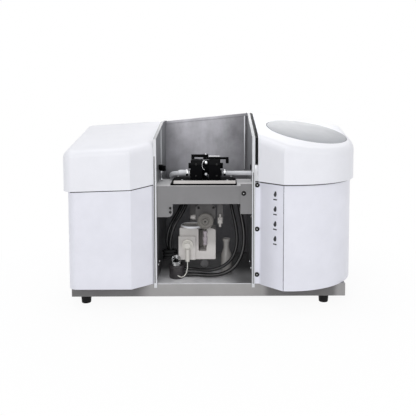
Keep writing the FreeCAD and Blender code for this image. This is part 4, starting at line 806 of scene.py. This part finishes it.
# feet: moulded rubber with a groove under the base
footSettings = {
    "places": [(-0.389, -0.145, 0), (0.330, -0.145, 0), (-0.389, 0.185, 0), (0.330, 0.185, 0)],
    "segments": 48,
    "profile": [(0, 0), (0.0128, 0), (0.0138, 0.0012), (0.0150, 0.0175), (0.0150, 0.0205), (0.0142, 0.0212),
                (0.0142, 0.0230), (0, 0.0230)],
}


def makeFeet(options):
    addHeads("rubberFeet", options["profile"], options["segments"], options["places"], "Z", "blackRubber",
             "housing", ["rubber_feet"])


makeFeet(footSettings)
print("feet moulded")

# furnace fittings: sight tube, plug, elbow, silver arc and ring, hose nuts and clamps, screws and bolts
furnaceSettings = {
    "turned": {
        "furnaceSight": {"place": (-0.0270, -0.0700, 0.4180), "axis": "-Y", "finish": "brightSteel",
                         "profile": [(0, 0), (0.0046, 0), (0.0046, 0.0238), (0.0038, 0.0250),
                                     (0.0016, 0.0257), (0, 0.0260)]},
        "furnacePlug": {"place": (-0.0276, -0.0740, 0.3816), "axis": "-Y", "finish": "whiteHose",
                        "profile": [(0, 0), (0.0030, 0), (0.0030, 0.0120), (0.0044, 0.0125),
                                    (0.0044, 0.0170), (0.0034, 0.0190), (0.0014, 0.0200), (0, 0.0202)]},
        "furnaceElbow": {"place": (-0.0885, -0.0600, 0.3828), "axis": "-X", "finish": "whiteHose",
                         "profile": [(0, 0), (0.0085, 0), (0.0092, 0.0010), (0.0092, 0.0200),
                                     (0.0084, 0.0246), (0.0064, 0.0276), (0.0030, 0.0292), (0, 0.0295)]},
    },
    "turnedSegments": 32,
    "arc": {"place": (-0.0305, -0.0953, 0.4105), "half": (0.0088, 0.0145), "from": 95, "to": 265,
            "steps": 16, "wire": 0.0010},
    "ring": {"radius": (0.0228, 0.0242), "width": 0.0014, "place": (-0.0345, -0.060, 0.400), "lean": 14,
             "segments": 64},
    "sides": {
        "Left": {"body": "housing", "axis": "-X", "nut": (-0.0754, -0.060, 0.3815),
                 "clamp": (-0.0910, -0.060, 0.3815),
                 "bolts": [(-0.058, -0.0948, 0.4120), (-0.058, -0.0948, 0.3765)]},
        "Right": {"body": "furnace_contact", "axis": "X", "nut": (0.0174, -0.060, 0.3815),
                  "clamp": (0.0270, -0.060, 0.3815),
                  "bolts": [(0.006, -0.0948, 0.4120), (0.006, -0.0948, 0.3765)]},
    },
    "nut": [(0.0071, 0), (0.0092, 0), (0.0096, 0.0005), (0.0096, 0.0031), (0.0092, 0.0036), (0.0071, 0.0036)],
    "nutSegments": 36,
    "nutRibs": {"size": (0.0010, 0.0012, 0.0030), "soft": 0.0002, "count": 18, "radius": 0.0096,
                "shift": 0.0018},
    "clamp": [(0.0071, 0), (0.0086, 0), (0.0089, 0.0004), (0.0089, 0.0066), (0.0086, 0.0070),
              (0.0071, 0.0070)],
    "clampSegments": 40,
    "clampScrew": {"size": (0.0050, 0.0040, 0.0034), "soft": 0.0006, "shift": (0.0035, 0, 0.0098)},
    "screw": [(0, -0.0002), (0.0036, -0.0002), (0.0036, 0.0010), (0.0026, 0.0022), (0.0010, 0.0024),
              (0.0009, 0.0014), (0, 0.0014)],
    "screwSegments": 20,
    "deckScrews": [(-0.118, -0.135, 0.366), (0.052, -0.135, 0.366), (-0.118, -0.028, 0.366),
                   (0.052, -0.028, 0.366), (-0.100, -0.110, 0.366), (0.038, -0.118, 0.366)],
}


def makeFurnaceArc(arc):
    middle = Vector(arc["place"])
    across, up = arc["half"]
    bend = []
    for step in range(arc["steps"] + 1):
        angle = math.radians(arc["from"] + (arc["to"] - arc["from"]) * step / arc["steps"])
        bend.append(tuple(middle + Vector((across * math.cos(angle), 0, up * math.sin(angle)))))
    mesh = routeMesh("furnaceArc", routeCurve("furnaceArcLine", bend, arc["wire"]))
    linkPiece("furnaceArc", mesh, "brightSteel", "housing")


def makeFurnaceRing(ring):
    inner, outer = ring["radius"]
    wide = ring["width"] / 2
    hoop = turnShape("furnaceRing", [(inner, -wide), (outer, -wide), (outer, wide), (inner, wide)],
                     ring["segments"])
    hoop.transform(Matrix.Rotation(math.radians(ring["lean"]), 4, "X"))
    linkPiece("furnaceRing", placed(hoop, ring["place"], "X"), "brightSteel", "housing")


def makeFurnaceSide(side, part, options):
    body, slot = part["body"], "furnace_block_" + side.lower()
    nut = {"profile": options["nut"], "place": part["nut"], "axis": part["axis"], "finish": "blackOxide"}
    addTurned("hoseNut" + side, nut, options["nutSegments"], body, slot)
    addRibs("hoseNutRibs" + side, options["nutRibs"], part["nut"], part["axis"], "blackOxide", body, slot)
    name = "hoseClamp" + side
    band = {"profile": options["clamp"], "place": part["clamp"], "axis": "X", "finish": "brightSteel"}
    addTurned(name, band, options["clampSegments"], body, "hose_clamps", ["hose_clamps"])
    screw = options["clampScrew"]
    addBlock(name + "Screw", screw["size"], screw["soft"], Vector(part["clamp"]) + Vector(screw["shift"]),
             "brightSteel", body, ["hose_clamps"])
    addHeads("blockBolts" + side, options["screw"], options["screwSegments"], part["bolts"], "-Y",
             "blackOxide", body)


def makeFurnaceFittings(options):
    for name, part in options["turned"].items():
        addTurned(name, part, options["turnedSegments"], "housing", "furnace_block_left")
    makeFurnaceArc(options["arc"])
    makeFurnaceRing(options["ring"])
    for side, part in options["sides"].items():
        makeFurnaceSide(side, part, options)
    addHeads("furnaceDeckScrews", options["screw"], options["screwSegments"], options["deckScrews"], "Z",
             "brightSteel", "housing")


makeFurnaceFittings(furnaceSettings)
print("furnace fitted")

# clamp levers: square black bars with a block at the outer end
leverSettings = {
    "soft": 0.0007,
    "blocks": {
        "clampLeverLeftBar": ("lever_left", (0.0530, 0.0085, 0.0070), (-0.0475, -0.060, 0.4370)),
        "clampLeverLeftBlock": ("lever_left", (0.0100, 0.0110, 0.0140), (-0.0690, -0.060, 0.4335)),
        "clampLeverRightBar": ("lever_right", (0.0800, 0.0085, 0.0065), (0.0030, -0.060, 0.4284)),
        "clampLeverRightBlock": ("lever_right", (0.0095, 0.0110, 0.0190), (0.0385, -0.060, 0.4221)),
    },
    "pin": {"profile": [(0, 0), (0.0017, 0.0003), (0.0017, 0.0350), (0, 0.0353)],
            "place": (-0.0200, -0.0640, 0.4345), "axis": "X", "finish": "brightSteel"},
    "pinSegments": 20,
}


def makeLevers(options):
    for name, (body, size, place) in options["blocks"].items():
        node = "clamp_" + body
        addBlock(name, size, options["soft"], place, "blackAnodised", body, [node])
    addTurned("leverPin", options["pin"], options["pinSegments"], "lever_right", "clamp_lever_right")


makeLevers(leverSettings)
print("levers cut")

# small fittings of the bay: black strips that paint shade in seams and under the lip, light strips that paint
# highlights on edges and folds, cap, dish rim, fittings, screws, rivets, hose tie, wound wire
baySettings = {
    "blocks": {
        # a black strip that paints the shade in the gap beside the left side plate's front
        "coverSeam": {"size": (0.0022, 0.0016, 0.3800), "soft": 0.0002, "place": (-0.1786, -0.1668, 0.2550),
                      "finish": "blackRubber", "node": "left_side_plate"},
        # a light steel strip that paints the highlight along the deck's front edge
        "deckEdge": {"size": (0.2800, 0.0016, 0.0020), "soft": 0.0004, "place": (-0.0305, -0.1645, 0.0613),
                     "finish": "edgeSteel", "node": "base_pan"},
        # the back right corner: a fold in the light steel as a painted highlight, and a black strip that
        # paints the shade in the gap beside it
        "cornerFold": {"size": (0.0042, 0.0030, 0.1900), "soft": 0.0006, "place": (0.1042, 0.1774, 0.4600),
                       "finish": "edgeSteel", "node": "chamber_back_wall"},
        "cornerGap": {"size": (0.0016, 0.0024, 0.1900), "soft": 0.0002, "place": (0.1088, 0.1777, 0.4600),
                      "finish": "blackRubber", "node": "chamber_back_wall"},
        # the rail guide takes the light steel as a painted highlight
        "railGuide": {"size": (0.0090, 0.0040, 0.0480), "soft": 0.0005, "place": (0.1235, -0.1715, 0.3960),
                      "finish": "edgeSteel", "node": "right_side_plate"},
        # a black strip that paints the shade in the seam beside the key panel
        "panelSeam": {"size": (0.0020, 0.0020, 0.3350), "soft": 0.0002, "place": (0.1147, -0.1662, 0.2290),
                      "finish": "blackRubber", "node": "right_key_panel"},
    },
    # black strips under the left lip paint the shadow it casts
    "lipSeam": {"thick": 0.0008, "tall": 0.0034, "tuck": 0.0010, "finish": "blackRubber", "strips": [
        (0.172, 0.3484, 0.3536, (-0.414, -0.2140), 0),      # length, height at its ends, start, degrees
        (0.0797, 0.3536, 0.3614, (-0.242, -0.2140), 41.2)]},
    "turned": {
        "sensorCap": {"body": "housing", "node": "flame_sensor", "finish": "blackAnodised",
                      "place": (-0.1628, -0.066, 0.3895),
                      "profile": [(0, 0), (0.0085, 0), (0.0090, 0.0008), (0.0090, 0.0060), (0.0084, 0.0068),
                                  (0.0084, 0.0085), (0.0090, 0.0093), (0.0090, 0.0152), (0.0084, 0.0160),
                                  (0, 0.0160)]},
        "dishRim": {"body": "lift", "node": "spray_chamber", "finish": "whiteHose",
                    "place": (-0.072, -0.073, 0.2155),
                    "profile": [(0.0305, 0), (0.0345, 0), (0.0358, 0.0030), (0.0348, 0.0060),
                                (0.0326, 0.0062), (0.0305, 0.0040)]},
        "slotFitting": {"body": "lift", "node": "spray_chamber", "finish": "fittingPlastic",
                        "place": (-0.0300, -0.1060, 0.1655),
                        "profile": [(0, 0), (0.0062, 0), (0.0066, 0.0010), (0.0066, 0.0060),
                                    (0.0050, 0.0070), (0.0050, 0.0120), (0.0070, 0.0130), (0.0070, 0.0240),
                                    (0.0052, 0.0250), (0.0048, 0.0330), (0.0066, 0.0340), (0.0066, 0.0420),
                                    (0, 0.0430)]},
    },
    "turnedSegments": 48,
    "dome": [(0, -0.0002), (0.0038, -0.0002), (0.0036, 0.0012), (0.0022, 0.0024), (0, 0.0028)],
    "screwSegments": 24,
    "screws": {
        "earScrews": ("shelf_end_bracket", [(-0.1322, -0.1630, 0.2900), (-0.1322, -0.1630, 0.2780)]),
        "bracketScrews": ("lift_bracket", [(-0.0505, -0.100, 0.2790), (-0.0045, -0.100, 0.2790)]),
    },
    "rivetSegments": 20,
    "rivets": {             # X of the plate's inner side, the way the heads look, and their Y and Z
        "leftPlateRivets": ("left_side_plate", -0.172, "X",
                            [(-0.128, 0.110), (-0.100, 0.112), (-0.080, 0.330)]),
        "rightPlateRivets": ("right_side_plate", 0.1105, "-X",
                             [(-0.128, 0.258), (-0.128, 0.098), (-0.060, 0.098)]),
    },
    "nebuliser": (-0.084, -0.1135, 0.166),
    "knurl": {"size": (0.0011, 0.0014, 0.0044), "soft": 0.0003, "count": 30, "radius": 0.0168, "shift": 0},
    "tie": {"profile": [(0.90, -0.0040), (1.0, -0.0034), (1.0, 0.0034), (0.90, 0.0040)],
            "half": (0.0225, 0.0125), "turn": 8,
            "places": [(-0.1385, -0.104, 0.126), (-0.1390, -0.104, 0.136), (-0.1395, -0.103, 0.146)]},
    "coil": {"turns": 4, "radius": 0.0130, "height": 0.020, "wire": 0.0008},
    "coilPlace": (-0.1190, -0.114, 0.1110),
    "coilLean": 38,
}


# lays the black strips that paint the shadow under the left lip
def makeLipShadowStrips(options):
    tall, tuck = options["tall"], options["tuck"]
    for number, (length, low, high, (x, y), turn) in enumerate(options["strips"]):
        name = "lipSeam%d" % (number + 1)
        outline = [(0, low - tall), (length, high - tall), (length, high + tuck), (0, low + tuck)]
        mesh = plateShape(name, outline, options["thick"])
        mesh.transform(Matrix.Translation((x, y, 0)) @ Matrix.Rotation(math.radians(turn), 4, "Z"))
        linkPiece(name, mesh, options["finish"], "housing")


def makeHoseTie(tie, segments):
    turn = Matrix.Rotation(math.radians(tie["turn"]), 4, "Z") @ Matrix.Diagonal((*tie["half"], 1, 1))
    for number, place in enumerate(tie["places"]):
        name = "hoseTie%d" % (number + 1)
        band = turnShape(name, tie["profile"], segments)
        band.transform(Matrix.Translation(place) @ turn)
        linkPiece(name, band, "blackRubber", "housing")


def makeBayFittings(options):
    makeLipShadowStrips(options["lipSeam"])
    for name, part in options["blocks"].items():
        addBlock(name, part["size"], part["soft"], part["place"], part["finish"], "housing")
    for name, part in options["turned"].items():
        addTurned(name, part, options["turnedSegments"], part["body"], part["node"])
    for name, (node, places) in options["screws"].items():
        addHeads(name, options["dome"], options["screwSegments"], places, "-Y", "blackOxide", "housing")
    for name, (node, x, axis, spots) in options["rivets"].items():
        addHeads(name, options["dome"], options["rivetSegments"], [(x, y, z) for y, z in spots], axis,
                 "brightSteel", "housing")
    addRibs("nebuliserKnurl", options["knurl"], options["nebuliser"], "Y", "nebuliserWhite", "lift",
            "nebuliser")
    makeHoseTie(options["tie"], options["turnedSegments"])
    wound = coilMesh("hoseCoil", "brightSteel", **options["coil"])
    wound.transform(Matrix.Rotation(math.radians(options["coilLean"]), 4, "X"))
    linkPiece("hoseCoil", placed(wound, options["coilPlace"]), None, "housing")


makeBayFittings(baySettings)
print("bay fitted")

# lamps: eight glass tubes with sockets and cathodes on the turret's circle
lampSettings = {
    "count": 8,
    "place": (0.165, -0.060, 0.335),
    "circle": 0.065,
    "segments": 28,
    "glass": [(0, 0.0017), (0.0158, 0.0015), (0.0160, 0.0), (0.0190, 0.0), (0.0190, 0.088),
              (0.0176, 0.088), (0.0176, 0.0032), (0, 0.0032)],
    "socket": [(0, 0.0885), (0.0188, 0.0885), (0.0188, 0.098), (0.0168, 0.0985), (0.0168, 0.1198),
               (0.0140, 0.120), (0, 0.120)],
    "cathode": [(0.0022, 0.052), (0.0045, 0.052), (0.0045, 0.078), (0.0012, 0.078), (0.0012, 0.0884),
                (0, 0.0884), (0, 0.075), (0.0022, 0.075)],
}


def makeLamps(options):
    for label, finish in (("glass", "tubeGlass"), ("socket", "blackPlastic"), ("cathode", "tungsten")):
        name = "lamp" + label.capitalize()
        stock = turnShape(name + "Stock", options[label], options["segments"])
        mesh = ringMesh(name, stock, finish, options["count"], options["circle"])
        linkPiece(name, placed(mesh, options["place"], "X"), None, "turret",
                  ["hollow_cathode_lamps"])


makeLamps(lampSettings)
print("lamps ringed")

# fan guard at the back and louvre lips over the vent slots
rearSettings = {
    "guardPlace": (0.300, 0.2200, 0.300),
    "guard": {"rings": 7, "gap": 0.0079, "wire": 0.0009},
    "spokes": {"size": (0.112, 0.0016, 0.0016), "soft": 0.0004, "count": 4, "radius": 0.0001, "shift": 0},
    "louvre": {"size": (0.050, 0.0022, 0.0012), "soft": 0.0004, "tip": -18},
    "louvreStart": (-0.370, 0.2200, 0.1022),
    "louvreStep": (0.070, 0.014),
    "louvreCount": (3, 8),
}


def makeRear(options):
    guard = placed(guardMesh("fanGuardRings", "brightSteel", **options["guard"]), options["guardPlace"], "Y")
    linkPiece("fanGuardRings", guard, None, "housing")
    addRibs("fanGuardSpokes", options["spokes"], options["guardPlace"], "Y", "brightSteel", "housing",
            "fan_frame")
    startX, startY, startZ = options["louvreStart"]
    stepX, stepZ = options["louvreStep"]
    columns, rows = options["louvreCount"]
    places = [(startX + stepX * column, startY, startZ + stepZ * row)
              for column in range(columns) for row in range(rows)]
    louvre = options["louvre"]
    lip = blockShape("louvreStock", louvre["size"], louvre["soft"])
    lips = scatterMesh("ventLouvres", lip, "rearPaint", places, math.radians(louvre["tip"]))
    linkPiece("ventLouvres", lips, None, "housing")


makeRear(rearSettings)
print("rear fitted")

# hoses: the points of each route in metres, as the frame has them
hoseRoutes = {
    "gasHoseA": {"node": "gas_hoses", "finish": "blackHose", "radius": 0.005, "points": [
        (-0.082, -0.064, 0.354), (-0.082, -0.064, 0.320), (-0.088, -0.072, 0.288), (-0.104, -0.082, 0.256),
        (-0.124, -0.092, 0.226), (-0.136, -0.098, 0.192), (-0.140, -0.102, 0.158), (-0.130, -0.100, 0.128),
        (-0.130, -0.100, 0.103)]},
    "gasHoseB": {"node": "gas_hoses", "finish": "blackHose", "radius": 0.005, "points": [
        (-0.094, -0.048, 0.354), (-0.094, -0.048, 0.320), (-0.101, -0.056, 0.288), (-0.118, -0.068, 0.256),
        (-0.137, -0.080, 0.226), (-0.148, -0.090, 0.192), (-0.150, -0.094, 0.158), (-0.122, -0.084, 0.126),
        (-0.122, -0.084, 0.103)]},
    "gasHoseC": {"node": "gas_hoses", "finish": "blackHose", "radius": 0.005, "points": [
        (0.046, -0.070, 0.354), (0.046, -0.070, 0.315), (0.054, -0.080, 0.266), (0.066, -0.092, 0.218),
        (0.070, -0.104, 0.172), (0.058, -0.116, 0.130), (0.030, -0.126, 0.104), (-0.006, -0.128, 0.091),
        (-0.038, -0.117, 0.088), (-0.062, -0.104, 0.088), (-0.080, -0.100, 0.088), (-0.100, -0.100, 0.088)]},
    "drainHose": {"node": "drain_hose", "finish": "greyHose", "radius": 0.006, "points": [
        (0.070, -0.056, 0.354), (0.070, -0.056, 0.306), (0.082, -0.070, 0.252), (0.092, -0.086, 0.196),
        (0.088, -0.100, 0.142), (0.066, -0.112, 0.100), (0.030, -0.116, 0.076), (-0.014, -0.110, 0.069),
        (-0.056, -0.100, 0.070), (-0.100, -0.100, 0.070)]},
    "waterHoseLeft": {"node": "water_hoses", "finish": "whiteHose", "radius": 0.007, "points": [
        (-0.079, -0.060, 0.3815), (-0.104, -0.060, 0.3815), (-0.126, -0.048, 0.3795),
        (-0.139, -0.026, 0.3745), (-0.142, -0.001, 0.3655), (-0.140, 0.020, 0.3495),
        (-0.136, 0.036, 0.3275), (-0.132, 0.050, 0.3035), (-0.129, 0.070, 0.2855),
        (-0.128, 0.096, 0.2775), (-0.128, 0.130, 0.2755), (-0.128, 0.183, 0.2755)]},
    "sampleCapillary": {"node": "sample_capillary", "finish": "clearTube", "radius": 0.0013,
                        "body": "lift", "stiffness": "limp", "farEnd": "bare", "points": [
        (-0.084, -0.120, 0.117), (-0.084, -0.120, 0.104), (-0.085, -0.126, 0.091), (-0.089, -0.132, 0.080),
        (-0.096, -0.136, 0.0735), (-0.105, -0.137, 0.0725), (-0.113, -0.135, 0.077)]},
}


def followedLine(data):
    plain = data.copy()
    plain.bevel_depth = 0
    probe = linkObject("probe", plain)
    line = bpy.data.meshes.new_from_object(probe.evaluated_get(bpy.context.evaluated_depsgraph_get()))
    points = [vertex.co.copy() for vertex in line.vertices]
    bpy.data.objects.remove(probe)
    return points, sum((after - before).length for before, after in zip(points, points[1:]))


def makeHose(name, options):
    data = routeCurve(name, options["points"], options["radius"])
    hose = linkObject(name, data)
    data.materials.append(materials[options["finish"]])
    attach(hose, options.get("body", "housing"))
    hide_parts(options["node"])
    followedLine(data)[1]


# the right water hose runs straight out from the sliding furnace contact
rightHose = {
    "points": [(0.0210, -0.060, 0.3815), (0.0520, -0.060, 0.3815), (0.0830, -0.060, 0.3815),
               (0.1140, -0.060, 0.3815)],
    "radius": 0.007,
}


def makeRightHose(options):
    data = routeCurve("waterHoseRightLine", options["points"], options["radius"])
    line, length = followedLine(data)
    mesh = routeMesh("waterHoseRight", data)
    mesh.materials.append(materials["whiteHose"])
    hose = linkObject("waterHoseRight", mesh)
    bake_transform(hose)
    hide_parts("water_hoses")


makeRightHose(rightHose)
for name, options in hoseRoutes.items():
    makeHose(name, options)
print("hoses laid", len(hoseRoutes) + 1)

# floor, light and background
stageSettings = {
    "floorColour": (250, 250, 251),
    "floorRadius": 14,
    "floorRough": 0.9,
    "floorWhite": (0.92, 1, 0.35, 0.9),     # share of plain white near and far, and the radii between
    "worldColour": (0.96, 0.98, 1, 1),
    "worldLight": 0.40,
    "aim": (0, 0, 0.28),
    "lamps": {
        "keyLamp": {"place": (-1.1, -3.4, 1.5), "size": 2.0, "level": 0.285},
        "sideLamp": {"place": (2.8, -1.9, 1.6), "size": 1.8, "level": 0.18},
        "topLamp": {"place": (-0.4, 0.2, 3.0), "size": 2.0, "level": 0.37},
        "backLamp": {"place": (0.4, 3.2, 1.6), "size": 2.0, "level": 0.16},
    },
}


def makeLamp(name, options, target):
    data = bpy.data.lights.new(name, "AREA")
    data.shape = "DISK"
    data.size = options["size"]
    lamp = linkObject(name, data)
    aim = Vector(target) - Vector(options["place"])
    data.energy = options["level"] * math.pi ** 2 * aim.length_squared
    lamp.location = options["place"]
    lamp.rotation_euler = aim.to_track_quat("-Z", "Y").to_euler()


# 1 where the camera, a gloss or a glass looks at the backdrop
def seenWhite(tree):
    path = tree.nodes.new("ShaderNodeLightPath").outputs
    seen = addMath(tree, "MAXIMUM", path["Is Camera Ray"], path["Is Glossy Ray"])
    return addMath(tree, "MAXIMUM", seen, path["Is Transmission Ray"])


def mixShaders(tree, share, plain, white, target):
    mix = addNode(tree, "ShaderNodeMixShader", Fac=share)
    tree.links.new(plain.outputs[0], mix.inputs[1])
    tree.links.new(white.outputs[0], mix.inputs[2])
    tree.links.new(mix.outputs[0], target.inputs["Surface"])


def makeWorld(options):
    world = bpy.data.worlds.new("studio")
    bpy.context.scene.world = world
    world.use_nodes = True
    tree = world.node_tree
    tree.nodes.clear()
    light = addNode(tree, "ShaderNodeBackground", {"Color": options["worldColour"],
                                                   "Strength": options["worldLight"]})
    white = addNode(tree, "ShaderNodeBackground", {"Color": (1, 1, 1, 1), "Strength": 1})
    mixShaders(tree, seenWhite(tree), light, white, tree.nodes.new("ShaderNodeOutputWorld"))


def makeFloor(options):
    shape = bmesh.new()
    bmesh.ops.create_circle(shape, cap_ends=True, segments=96, radius=options["floorRadius"])
    mesh = bpy.data.meshes.new("floor")
    shape.to_mesh(mesh)
    shape.free()
    floor = linkObject("floor", mesh)
    material, tree, shader, where = newMaterial("paleFloor")
    shader.inputs["Base Color"].default_value = tint(*options["floorColour"])
    shader.inputs["Roughness"].default_value = options["floorRough"]
    shader.inputs["Specular IOR Level"].default_value = 0
    white = tree.nodes.new("ShaderNodeEmission")
    away = tree.nodes.new("ShaderNodeVectorMath")
    away.operation = "LENGTH"
    tree.links.new(where, away.inputs[0])
    spread = addRange(tree, away.outputs["Value"], *options["floorWhite"])
    share = addMath(tree, "MULTIPLY", spread.outputs["Result"], seenWhite(tree))
    mixShaders(tree, share, shader, white, tree.nodes["Material Output"])
    mesh.materials.append(material)


makeWorld(stageSettings)
makeFloor(stageSettings)
for name, options in stageSettings["lamps"].items():
    makeLamp(name, options, stageSettings["aim"])
print("stage lit")
